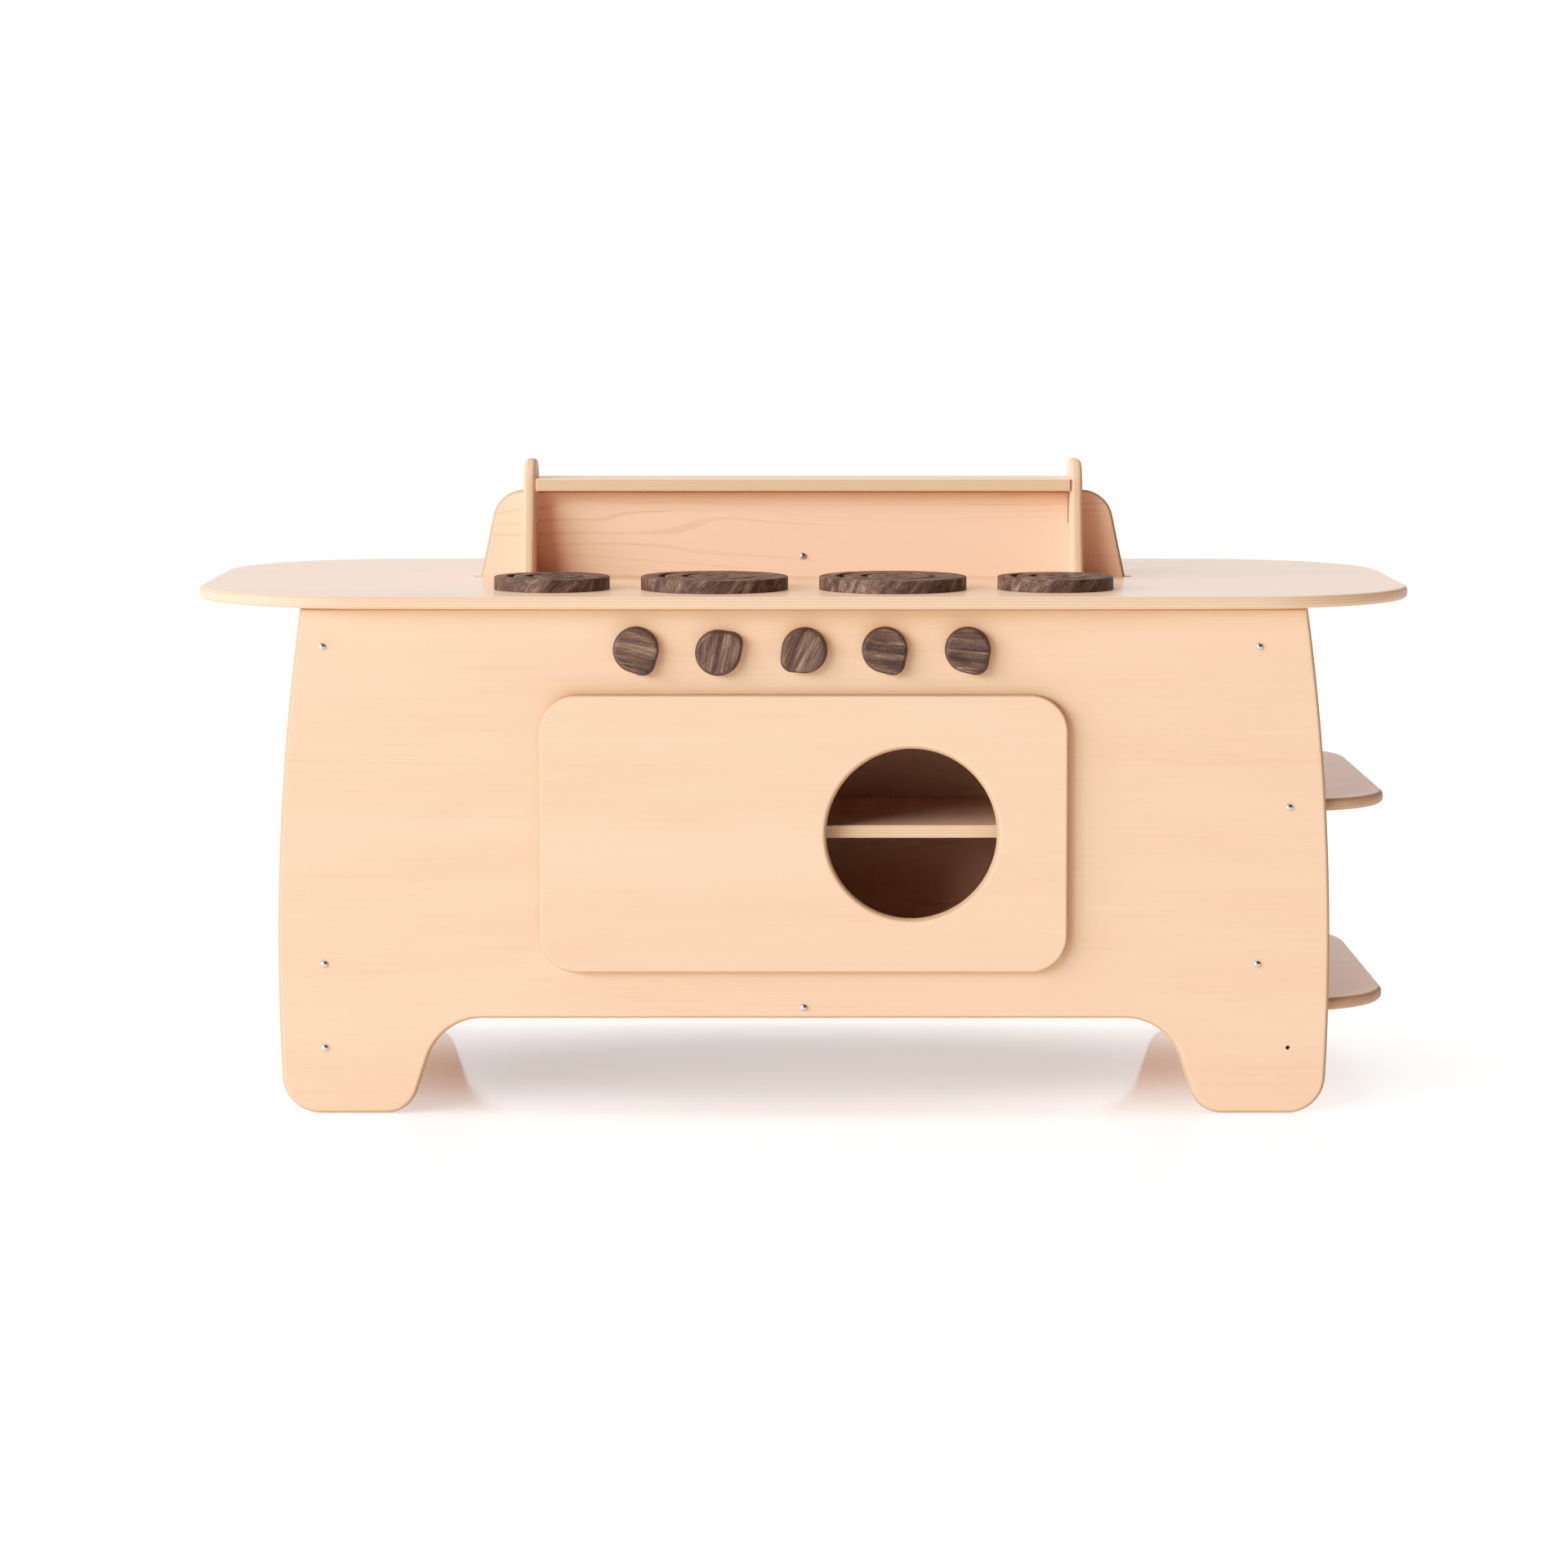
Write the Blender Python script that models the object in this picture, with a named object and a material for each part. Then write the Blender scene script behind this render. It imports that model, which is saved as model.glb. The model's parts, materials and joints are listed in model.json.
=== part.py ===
"""Double-sided plywood play kitchen: a long body between two shaped panels, a rounded worktop
with four wooden burner discs, a small hutch that stands in a slot of the worktop, a hinged oven
door with a round window, five turning knobs and two open shelves at the right-hand end.

Run it with: blender --background --python part.py
Lengths are metres. +X runs to the user's right, +Y to the back and +Z up. The origin is on the
floor under the middle of the worktop, and the door and the knobs face -Y.
"""

import math

import bmesh
import bpy
from mathutils import Matrix, Vector

# ---- Stock and fits -------------------------------------------------------------------------
PLY = 0.015                 # thickness of every panel and board
GAP = 0.0003                # joint between two pieces that touch
EDGE_R = 0.0035             # round-over of the panels' edges
TOP_EDGE_R = 0.0055         # round-over of the worktop's edge
DOOR_EDGE_R = 0.004         # round-over of the door's edges, which lets it turn beside the panel

# ---- Body -----------------------------------------------------------------------------------
BODY_LENGTH = 1.1972        # front panel's length at its top edge
BODY_DEPTH = 0.616          # over the front and back panels
WORKTOP_HEIGHT = 0.622      # floor to the worktop's upper face
SIDE_R = 2.946              # radius of the bowed ends of the front and back panels
BELLY_HEIGHT = 0.195        # height at which the ends are widest
LEG_OPENING_HEIGHT = 0.114
FOOT_LENGTH = 0.1503        # foot's length along the floor, before its corners are rounded
FOOT_OUTER_R = 0.045
FOOT_INNER_R = 0.039
ARCH_R = 0.068
LEG_LEAN = math.radians(18)
BOARD_LIFT = 0.006          # the bottom board's underside, above the leg opening
LEFT_PANEL_INSET = 0.0266   # from the front panel's top corner to the middle of each upright panel
RIGHT_PANEL_INSET = 0.0576
RIGHT_FOOT_INSET = 0.0206
GROOVE_DEPTH = 0.003        # groove in the side panels that carries the inner shelves
INNER_SHELF_HEIGHT = 0.3365  # to the middle of its thickness
INNER_SHELF_SETBACK = 0.004  # behind the front and back panels, clear of the hinges

# ---- Side shelves ---------------------------------------------------------------------------
SHELF_REACH = 0.1074        # how far the shelves stand out past the front panel's top corner
SHELF_CORNER_R = 0.115
SIDE_SHELF_HEIGHT = 0.368   # to the middle of its thickness

# ---- Worktop --------------------------------------------------------------------------------
END_OVERHANG = 0.1411
FRONT_OVERHANG = 0.042
TOP_CORNER_R = 0.212
TOP_SIDE_R = 13.9           # the long edges bow out slightly
BATTEN_SIDE = 0.020

# ---- Hutch ----------------------------------------------------------------------------------
HUTCH_HALF = 0.4043         # half-length of the hutch's back panel where it leaves the worktop
HUTCH_LEAN = math.atan(0.206)
HUTCH_CORNER_R = 0.040
HUTCH_BACK_HEIGHT = 0.1092  # above the worktop
SLOT_SPARE = 0.0085         # worktop's slot, past each end of the panel
UPRIGHT_INSET = 0.0638      # from the back panel's end at the worktop to each upright's middle
UPRIGHT_HEIGHT = 0.148
UPRIGHT_TOP_HALF = 0.048    # half-depth at the top
UPRIGHT_FOOT_HALF = 0.080   # half-depth at the worktop
UPRIGHT_WAIST = 0.100       # height at which the upright starts to widen
UPRIGHT_CORNER_R = 0.034
LAP_HEIGHT = 0.068          # the uprights and the back panel are cross-lapped at this height
HUTCH_BOLT_RISE = 0.026     # above the worktop
HUTCH_BOLT_COVER = 0.003    # wood left behind the short bolt in the middle of the hutch
HUTCH_SHELF_CORNER_R = 0.004

# ---- Burners --------------------------------------------------------------------------------
SMALL_BURNER = 0.140
LARGE_BURNER = 0.178
BURNER_THICK = 0.0155
BURNER_EDGE_R = 0.0035
BURNER_SETBACK = 0.094      # from the front panel's face to the discs' centres
LARGE_BURNER_X = 0.1077
SMALL_BURNER_X = 0.3041

# ---- Knobs ----------------------------------------------------------------------------------
KNOB_DROP = 0.0673          # below the worktop's upper face
KNOB_PITCH = 0.0985
KNOB_ROW_X = -0.0014
KNOB_BODY_R = 0.0272        # a large and a small circle joined by their tangents
KNOB_NOSE_R = 0.0145
KNOB_NOSE_REACH = 0.0182
KNOB_OFFSET = 0.0025        # from the large circle's centre to the spindle
KNOB_THICK = 0.016
KNOB_EDGE_R = 0.0055
KNOB_ANGLES = [math.radians(a) for a in (-63, 35, -141, -58, -57)]  # where each nose points
SPINDLE_R = 0.003
SPINDLE_CLEARANCE = 0.0004
SPINDLE_INTO_KNOB = 0.010
SPINDLE_FLANGE_R = 0.0075
SPINDLE_FLANGE = 0.002
KNOB_STANDOFF = 0.0005

# ---- Door -----------------------------------------------------------------------------------
DOOR_LENGTH = 0.629
DOOR_X = -0.0005
DOOR_SILL = 0.0365          # from the bottom board's upper face to the door
DOOR_TO_KNOBS = 0.0508      # from the knobs' spindles down to the door
DOOR_CORNER_R = 0.045
DOOR_OVERLAP = 0.0225       # how far the door covers the panel around its opening
OPENING_CORNER_R = 0.025
WINDOW_R = 0.1015
WINDOW_X = 0.128
STRIKE_LENGTH = 0.018
STRIKE_HEIGHT = 0.028
STRIKE_THICK = 0.001
CATCH_LENGTH = 0.012
CATCH_DEPTH = 0.027
CATCH_HEIGHT = 0.028
CATCH_DROP = 0.0687         # from the opening's upper edge down to the catch's middle
CATCH_AIR = 0.0005           # between the magnet and the strike plate
STRIKE_AIR = 0.0023         # between the strike plate and the edge of the opening

# ---- Hinges ---------------------------------------------------------------------------------
HINGE_INSET = 0.061         # from the door's upper and lower edge to each hinge's middle
LEAF_HEIGHT = 0.030
ARM_HEIGHT = 0.012
KNUCKLE_R = 0.0022
PIN_R = 0.0012
PIN_CLEARANCE = 0.0003
LEAF_THICK = 0.0016
ARM_THICK = 0.002
ARM_RISE = 0.0002           # the arm's strip passes this far behind the hinge's axis
ARM_FOOT = 0.022            # the arm's foot, along the panel's inner face
HINGE_AIR = 0.0005

# ---- Bolts ----------------------------------------------------------------------------------
BOLT_HEAD_R = 0.00415
BOLT_HEAD = 0.0028
BOLT_R = 0.0022
BOLT_LENGTH = 0.038
BOLT_CLEARANCE = 0.0004
BORE_SPARE = 0.002
UPPER_BOLT_DROP = 0.062     # below the worktop's upper face
LOWER_BOLT_RISE = 0.045     # above the bottom board
FOOT_BOLT_HEIGHT = 0.0793

# ---- Worked out from the sizes above ----------------------------------------------------------
BULLNOSE_R = PLY / 2 - GAP                     # the hutch uprights' edges are fully round
BODY_HALF = BODY_LENGTH / 2
FRONT_Y = -BODY_DEPTH / 2                      # outer face of the front panel
INNER_Y = BODY_DEPTH / 2 - PLY - GAP           # half-depth between the two panels
TOP_UNDER = WORKTOP_HEIGHT - PLY
PANEL_TOP = TOP_UNDER - GAP
BOARD_UNDER = LEG_OPENING_HEIGHT + BOARD_LIFT
BOARD_TOP = BOARD_UNDER + PLY
LEFT_X = -(BODY_HALF - LEFT_PANEL_INSET)
RIGHT_X = BODY_HALF - RIGHT_PANEL_INSET
FOOT_X = BODY_HALF - RIGHT_FOOT_INSET
SHELF_END = BODY_HALF + SHELF_REACH
BAY_LEFT = LEFT_X + PLY / 2 + GAP
BAY_RIGHT = RIGHT_X - PLY / 2 - GAP
KNOB_Z = WORKTOP_HEIGHT - KNOB_DROP
DOOR_LOW = BOARD_TOP + DOOR_SILL
DOOR_HIGH = KNOB_Z - DOOR_TO_KNOBS
DOOR_Z = (DOOR_LOW + DOOR_HIGH) / 2
DOOR_Y = FRONT_Y - GAP - PLY / 2               # middle of the door's thickness
DOOR_LEFT = DOOR_X - DOOR_LENGTH / 2
OPENING_LEFT = DOOR_LEFT + DOOR_OVERLAP
OPENING_RIGHT = DOOR_LEFT + DOOR_LENGTH - DOOR_OVERLAP
OPENING_LOW = DOOR_LOW + DOOR_OVERLAP
OPENING_HIGH = DOOR_HIGH - DOOR_OVERLAP
CATCH_Z = OPENING_HIGH - CATCH_DROP
HINGE_X = DOOR_LEFT + DOOR_EDGE_R
UPRIGHT_X = HUTCH_HALF - UPRIGHT_INSET
UPRIGHT_BASE = WORKTOP_HEIGHT + GAP
HUTCH_TOP = WORKTOP_HEIGHT + HUTCH_BACK_HEIGHT
LAP_Z = WORKTOP_HEIGHT + LAP_HEIGHT
HUTCH_BOLT_Z = WORKTOP_HEIGHT + HUTCH_BOLT_RISE
HUTCH_SHELF_Z = HUTCH_TOP + GAP + PLY / 2

# Turns that stand a flat plate up: its own X and Y become the two axes named
LIES_FLAT = (0, 0, 0)
FACES_FRONT = (math.pi / 2, 0, 0)              # X and Z, and its own +Z points to the front
FACES_BACK = (-math.pi / 2, 0, 0)
FACES_SIDE = (math.pi / 2, 0, math.pi / 2)     # Y and Z, and its own +Z points to +X
FACES_LEFT = (0, -math.pi / 2, 0)
FACES_RIGHT = (0, math.pi / 2, 0)
ARC_STEP = math.radians(10)


# ---- Outlines -------------------------------------------------------------------------------
def arc(centre, radius, start, end, steps):
    """Points on an arc from one angle to another."""
    angles = [start + (end - start) * i / steps for i in range(steps + 1)]
    return [(centre[0] + radius * math.cos(a), centre[1] + radius * math.sin(a)) for a in angles]


def rounded(corners):
    """The outline through corners given as (x, y, radius), each rounded to its radius."""
    points = []
    for i, (x, y, radius) in enumerate(corners):
        if radius == 0:
            points.append((x, y))
            continue
        corner = Vector((x, y))
        back = (Vector(corners[i - 1][:2]) - corner).normalized()
        ahead = (Vector(corners[(i + 1) % len(corners)][:2]) - corner).normalized()
        half = back.angle(ahead) / 2
        centre = corner + (back + ahead).normalized() * radius / math.sin(half)
        first = corner + back * radius / math.tan(half) - centre
        last = corner + ahead * radius / math.tan(half) - centre
        start = math.atan2(first.y, first.x)
        turn = (math.atan2(last.y, last.x) - start + math.pi) % math.tau - math.pi
        points += arc(centre, radius, start, start + turn, max(2, math.ceil(abs(turn) / ARC_STEP)))
    return points


def rectangle(x0, x1, y0, y1, radius=0.0):
    return rounded([(x0, y0, radius), (x1, y0, radius), (x1, y1, radius), (x0, y1, radius)])


def circle(radius, steps):
    return arc((0, 0), radius, 0, math.tau, steps)[:-1]


def end_x(height):
    """Half-length of the front panel at a height, on its bowed end."""
    bow = math.sqrt(SIDE_R**2 - (height - BELLY_HEIGHT) ** 2)
    return BODY_HALF + bow - math.sqrt(SIDE_R**2 - (PANEL_TOP - BELLY_HEIGHT) ** 2)


def body_panel_outline():
    steps = 9
    low = 1.4 * FOOT_OUTER_R
    heights = [PANEL_TOP + (low - PANEL_TOP) * i / steps for i in range(steps + 1)]
    foot_in = end_x(0) - FOOT_LENGTH
    half = [(end_x(z), z, 0) for z in heights]
    half.append((end_x(0), 0, FOOT_OUTER_R))
    half.append((foot_in, 0, FOOT_INNER_R))
    half.append((foot_in - LEG_OPENING_HEIGHT * math.tan(LEG_LEAN), LEG_OPENING_HEIGHT, ARCH_R))
    return rounded(half + [(-x, z, radius) for x, z, radius in reversed(half)])


def worktop_outline():
    half_length = BODY_HALF + END_OVERHANG
    bow_centre = BODY_DEPTH / 2 + FRONT_OVERHANG - TOP_SIDE_R
    corner_x = half_length - TOP_CORNER_R
    corner_y = bow_centre + math.sqrt((TOP_SIDE_R - TOP_CORNER_R) ** 2 - corner_x**2)
    turn = math.atan2(corner_y - bow_centre, corner_x)
    quarter = arc((corner_x, corner_y), TOP_CORNER_R, 0, turn, 14)
    quarter += arc((0, bow_centre), TOP_SIDE_R, turn, math.pi / 2, 5)[1:]
    back = quarter + [(-x, y) for x, y in reversed(quarter[:-1])]
    return back + [(x, -y) for x, y in reversed(back)]


def shelf_outline(left):
    """A board from left to the open end, where both of its corners are rounded."""
    radius = SHELF_CORNER_R
    return rounded(
        [
            (left, -INNER_Y, 0),
            (SHELF_END, -INNER_Y, radius),
            (SHELF_END, INNER_Y, radius),
            (left, INNER_Y, 0),
        ]
    )


def centre_panel_outline():
    low, shoulder = BOARD_TOP + GAP, PANEL_TOP
    lean = math.tan(HUTCH_LEAN)
    wide = HUTCH_HALF + (WORKTOP_HEIGHT - shoulder) * lean
    narrow = HUTCH_HALF - HUTCH_BACK_HEIGHT * lean
    return rounded(
        [
            (BAY_LEFT, low, 0),
            (BAY_RIGHT, low, 0),
            (BAY_RIGHT, shoulder, 0),
            (wide, shoulder, 0),
            (narrow, HUTCH_TOP, HUTCH_CORNER_R),
            (-narrow, HUTCH_TOP, HUTCH_CORNER_R),
            (-wide, shoulder, 0),
            (BAY_LEFT, shoulder, 0),
        ]
    )


def upright_outline():
    top, waist = UPRIGHT_BASE + UPRIGHT_HEIGHT - GAP, WORKTOP_HEIGHT + UPRIGHT_WAIST
    half = [
        (UPRIGHT_FOOT_HALF, UPRIGHT_BASE, 0),
        (UPRIGHT_TOP_HALF, waist, 0),
        (UPRIGHT_TOP_HALF, top, UPRIGHT_CORNER_R),
    ]
    return rounded(half + [(-y, z, radius) for y, z, radius in reversed(half)])


def knob_outline():
    """Seen from the front with its nose along +X, measured from the spindle."""
    lean = math.acos((KNOB_BODY_R - KNOB_NOSE_R) / KNOB_NOSE_REACH)
    nose = arc((KNOB_NOSE_REACH - KNOB_OFFSET, 0), KNOB_NOSE_R, -lean, lean, 10)
    return nose + arc((-KNOB_OFFSET, 0), KNOB_BODY_R, lean, math.tau - lean, 24)


# ---- Making pieces --------------------------------------------------------------------------
def material(name, colour, roughness, metallic=0.0):
    made = bpy.data.materials.new(name)
    made.use_nodes = True
    shader = made.node_tree.nodes["Principled BSDF"]
    shader.inputs["Base Color"].default_value = (*colour, 1.0)
    shader.inputs["Roughness"].default_value = roughness
    shader.inputs["Metallic"].default_value = metallic
    made.diffuse_color = (*colour, 1.0)
    return made


def add_object(name, bm, finish, turn, place, parent=None):
    """Makes bm an object, with its place given in the world even where it has a parent."""
    mesh = bpy.data.meshes.new(name)
    bm.to_mesh(mesh)
    bm.free()
    if finish:
        mesh.materials.append(finish)
    mesh.shade_smooth()
    mesh.set_sharp_from_angle(angle=math.radians(35))
    piece = bpy.data.objects.new(name, mesh)
    bpy.context.collection.objects.link(piece)
    piece.rotation_euler = turn
    piece.location = Vector(place) - (parent.location if parent else Vector())
    piece.parent = parent
    return piece


def extruded(outline, thick, edge_r=0.0, segments=2, faces=(1, -1)):
    """A plate of an outline, with the edges of its upper (1) and lower (-1) face rounded."""
    bm = bmesh.new()
    base = bm.faces.new([bm.verts.new((x, y, -thick / 2)) for x, y in outline])
    risen = bmesh.ops.extrude_face_region(bm, geom=[base])["geom"]
    moved = [v for v in risen if isinstance(v, bmesh.types.BMVert)]
    bmesh.ops.translate(bm, verts=moved, vec=(0, 0, thick))
    bmesh.ops.recalc_face_normals(bm, faces=bm.faces)
    if edge_r:
        rim = [
            e for e in bm.edges
            if any(all(abs(v.co.z - side * thick / 2) < 1e-6 for v in e.verts) for side in faces)
        ]
        bmesh.ops.bevel(bm, geom=rim, offset=edge_r, offset_type="OFFSET", segments=segments,
                        profile=0.5, affect="EDGES", clamp_overlap=False, material=-1)
    return bm


def turned(profile, steps):
    """A solid turned about its own Z from (radius, height) points, the first and last on Z."""
    bm = bmesh.new()
    verts = [bm.verts.new((radius, 0, height)) for radius, height in profile]
    edges = [bm.edges.new(pair) for pair in zip(verts, verts[1:])]
    bmesh.ops.spin(bm, geom=verts + edges, cent=(0, 0, 0), axis=(0, 0, 1), angle=math.tau,
                   steps=steps, use_merge=True)
    bmesh.ops.remove_doubles(bm, verts=bm.verts, dist=1e-6)
    bmesh.ops.recalc_face_normals(bm, faces=bm.faces)
    return bm


def block(low, high):
    """A box between two corners."""
    bm = bmesh.new()
    size = Vector(high) - Vector(low)
    place = Matrix.Translation((Vector(low) + Vector(high)) / 2)
    bmesh.ops.create_cube(bm, size=1, matrix=place @ Matrix.Diagonal((*size, 1)))
    return bm


def rod(start, end, radius, steps=12):
    """A round bar between two points."""
    bm = bmesh.new()
    run = Vector(end) - Vector(start)
    turn = run.to_track_quat("Z", "Y").to_matrix().to_4x4()
    place = Matrix.Translation((Vector(start) + Vector(end)) / 2) @ turn
    bmesh.ops.create_cone(bm, cap_ends=True, segments=steps, radius1=radius, radius2=radius,
                          depth=run.length, matrix=place)
    return bm


def cut(piece, *shapes):
    """Cuts shapes out of a piece. They stand apart from each other, so one cutter holds all."""
    name = f"{piece.name}_cutter_{len(piece.modifiers) + 1}"
    mesh = bpy.data.meshes.new(name)
    whole = bmesh.new()
    for shape in shapes:
        shape.to_mesh(mesh)
        shape.free()
        whole.from_mesh(mesh)
    whole.to_mesh(mesh)
    whole.free()
    cutter = bpy.data.objects.new(name, mesh)
    bpy.context.collection.objects.link(cutter)
    cutter.hide_render = True
    cutter.display_type = "WIRE"
    boolean = piece.modifiers.new(name, "BOOLEAN")
    boolean.operation = "DIFFERENCE"
    boolean.solver = "EXACT"
    boolean.object = cutter


def axis_empty(name, place):
    empty = bpy.data.objects.new(name, None)
    bpy.context.collection.objects.link(empty)
    empty.location = place
    return empty


# ---- Body -----------------------------------------------------------------------------------
def panel_bolts():
    """Name, x and height of each bolt that holds the front or the back panel."""
    upper, lower = WORKTOP_HEIGHT - UPPER_BOLT_DROP, BOARD_TOP + LOWER_BOLT_RISE
    return [
        ("left_upper", LEFT_X, upper),
        ("left_lower", LEFT_X, lower),
        ("left_foot", LEFT_X, FOOT_BOLT_HEIGHT),
        ("right_upper", RIGHT_X, upper),
        ("right_lower", RIGHT_X, lower),
        ("shelf", FOOT_X, SIDE_SHELF_HEIGHT),
        ("board", 0.0, BOARD_UNDER + PLY / 2),
        ("right_foot", FOOT_X, FOOT_BOLT_HEIGHT),
    ]


def bolt_bores(*names):
    """Bores in from both ends of the body for the named bolts, into a board behind the panels."""
    outside = BODY_DEPTH / 2 + BORE_SPARE
    inside = BODY_DEPTH / 2 - BOLT_LENGTH - BORE_SPARE
    return [
        rod((x, side * outside, z), (x, side * inside, z), BOLT_R + BOLT_CLEARANCE)
        for name, x, z in panel_bolts() if name in names for side in (-1, 1)
    ]


def through_hole(x, z, side, radius):
    """A round hole through the front (-1) or the back (1) panel."""
    y = side * BODY_DEPTH / 2
    return rod((x, y - 3 * PLY, z), (x, y + 3 * PLY, z), radius)


def door_opening(side):
    outline = rectangle(OPENING_LEFT, OPENING_RIGHT, OPENING_LOW, OPENING_HIGH, OPENING_CORNER_R)
    hole = extruded(outline, 3 * PLY)
    stand = Matrix.Rotation(math.pi / 2, 4, "X")
    place = Matrix.Translation((0, side * BODY_DEPTH / 2, 0)) @ stand
    bmesh.ops.transform(hole, matrix=place, verts=hole.verts)
    return hole


def make_body_panels(ply):
    """The front and the back panel have one outline and one opening; only the front has knobs."""
    for name, side in (("front_panel", -1), ("back_panel", 1)):
        panel = add_object(name, extruded(body_panel_outline(), PLY, EDGE_R), ply, FACES_FRONT,
                           (0, side * (BODY_DEPTH / 2 - PLY / 2), 0))
        holes = [through_hole(x, z, side, BOLT_R + BOLT_CLEARANCE) for _, x, z in panel_bolts()]
        if side < 0:
            radius = SPINDLE_R + SPINDLE_CLEARANCE
            holes += [through_hole(x, KNOB_Z, side, radius) for x in knob_places()]
        cut(panel, door_opening(side), *holes)


def make_side_panels(ply):
    groove_low = INNER_SHELF_HEIGHT - PLY / 2 - GAP
    groove_high = INNER_SHELF_HEIGHT + PLY / 2 + GAP
    # Name, x, lower and upper edge, side of the groove for the inner shelves, bolts
    pieces = (
        ("left_side_panel", LEFT_X, 0, PANEL_TOP, 1, ("left_upper", "left_lower", "left_foot")),
        ("right_side_panel", RIGHT_X, BOARD_TOP + GAP, PANEL_TOP, -1, ("right_upper", "right_lower")),
        ("right_foot_panel", FOOT_X, 0, BOARD_UNDER - GAP, 0, ("right_foot",)),
    )
    for name, x, low, high, groove, bolts in pieces:
        panel = add_object(name, extruded(rectangle(-INNER_Y, INNER_Y, low, high), PLY),
                           ply, FACES_SIDE, (x, 0, 0))
        cuts = bolt_bores(*bolts)
        if groove:
            floor = x + groove * (PLY / 2 - GROOVE_DEPTH)
            ends = sorted((floor, floor + groove * PLY))
            cuts.append(block((ends[0], -BODY_DEPTH, groove_low), (ends[1], BODY_DEPTH, groove_high)))
        cut(panel, *cuts)


def make_boards(ply):
    board = add_object("bottom_board", extruded(shelf_outline(BAY_LEFT), PLY, EDGE_R),
                       ply, LIES_FLAT, (0, 0, BOARD_UNDER + PLY / 2))
    cut(board, *bolt_bores("board"))
    outline = shelf_outline(RIGHT_X + PLY / 2 + GAP)
    shelf = add_object("side_shelf", extruded(outline, PLY, EDGE_R), ply, LIES_FLAT,
                       (0, 0, SIDE_SHELF_HEIGHT))
    cut(shelf, *bolt_bores("shelf"))
    reach = GROOVE_DEPTH - GAP                 # how far a shelf's ends stand in their grooves
    left, right = BAY_LEFT - GAP - reach, BAY_RIGHT + GAP + reach
    near, far = PLY / 2 + GAP, INNER_Y - INNER_SHELF_SETBACK
    for name, y0, y1 in (("inner_shelf_front", -far, -near), ("inner_shelf_back", near, far)):
        add_object(name, extruded(rectangle(left, right, y0, y1), PLY, 0.001, segments=1),
                   ply, LIES_FLAT, (0, 0, INNER_SHELF_HEIGHT))


def make_centre_panel(ply):
    panel = add_object("centre_panel", extruded(centre_panel_outline(), PLY, EDGE_R),
                       ply, FACES_FRONT, (0, 0, 0))
    half = PLY / 2 + GAP
    laps = [
        block((x - half, -PLY, LAP_Z - GAP / 2), (x + half, PLY, HUTCH_TOP + PLY))
        for x in (-UPRIGHT_X, UPRIGHT_X)
    ]
    bore_end = PLY / 2 - HUTCH_BOLT_COVER
    bore = rod((0, -PLY, HUTCH_BOLT_Z), (0, bore_end, HUTCH_BOLT_Z), BOLT_R + BOLT_CLEARANCE)
    cut(panel, bore, *laps)


# ---- Worktop and what stands on it ----------------------------------------------------------
def make_worktop(ply, beech):
    top = add_object("worktop", extruded(worktop_outline(), PLY, TOP_EDGE_R, segments=3),
                     ply, LIES_FLAT, (0, 0, WORKTOP_HEIGHT - PLY / 2))
    slot_half = HUTCH_HALF + SLOT_SPARE
    cut(top, block((-slot_half, -PLY / 2 - GAP, TOP_UNDER - PLY),
                   (slot_half, PLY / 2 + GAP, WORKTOP_HEIGHT + PLY)))
    for name, side in (("front_batten", -1), ("back_batten", 1)):
        y = side * (INNER_Y - BATTEN_SIDE / 2)
        outline = rectangle(BAY_LEFT, BAY_RIGHT, -BATTEN_SIDE / 2, BATTEN_SIDE / 2)
        add_object(name, extruded(outline, BATTEN_SIDE, 0.001, segments=1), beech, LIES_FLAT,
                   (0, y, PANEL_TOP - BATTEN_SIDE / 2))


def make_hutch(ply):
    half = PLY / 2 + GAP
    for name, x in (("left_hutch_upright", -UPRIGHT_X), ("right_hutch_upright", UPRIGHT_X)):
        upright = add_object(name, extruded(upright_outline(), PLY, BULLNOSE_R, segments=3),
                             ply, FACES_SIDE, (x, 0, 0))
        cut(upright,
            block((x - PLY, -half, WORKTOP_HEIGHT - PLY), (x + PLY, half, LAP_Z + GAP / 2)),
            rod((x - PLY, 0, HUTCH_SHELF_Z), (x + PLY, 0, HUTCH_SHELF_Z), BOLT_R + BOLT_CLEARANCE))
    end = UPRIGHT_X - PLY / 2 - GAP
    outline = rectangle(-end, end, -UPRIGHT_TOP_HALF, UPRIGHT_TOP_HALF, HUTCH_SHELF_CORNER_R)
    shelf = add_object("hutch_shelf", extruded(outline, PLY, EDGE_R), ply, LIES_FLAT,
                       (0, 0, HUTCH_SHELF_Z))
    reach = BOLT_LENGTH - PLY + BORE_SPARE
    cut(shelf, *[
        rod((side * (end - reach), 0, HUTCH_SHELF_Z), (side * (end + PLY), 0, HUTCH_SHELF_Z),
            BOLT_R + BOLT_CLEARANCE)
        for side in (-1, 1)
    ])


def make_burners(walnut):
    places = (
        ("burner_far_left", -SMALL_BURNER_X, SMALL_BURNER),
        ("burner_left", -LARGE_BURNER_X, LARGE_BURNER),
        ("burner_right", LARGE_BURNER_X, LARGE_BURNER),
        ("burner_far_right", SMALL_BURNER_X, SMALL_BURNER),
    )
    for name, x, size in places:
        bm = extruded(circle(size / 2, 40), BURNER_THICK, BURNER_EDGE_R, faces=(1,))
        add_object(name, bm, walnut, LIES_FLAT,
                   (x, FRONT_Y + BURNER_SETBACK, WORKTOP_HEIGHT + GAP + BURNER_THICK / 2))


# ---- Knobs ----------------------------------------------------------------------------------
def knob_places():
    return [KNOB_ROW_X + KNOB_PITCH * (i - 2) for i in range(len(KNOB_ANGLES))]


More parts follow.
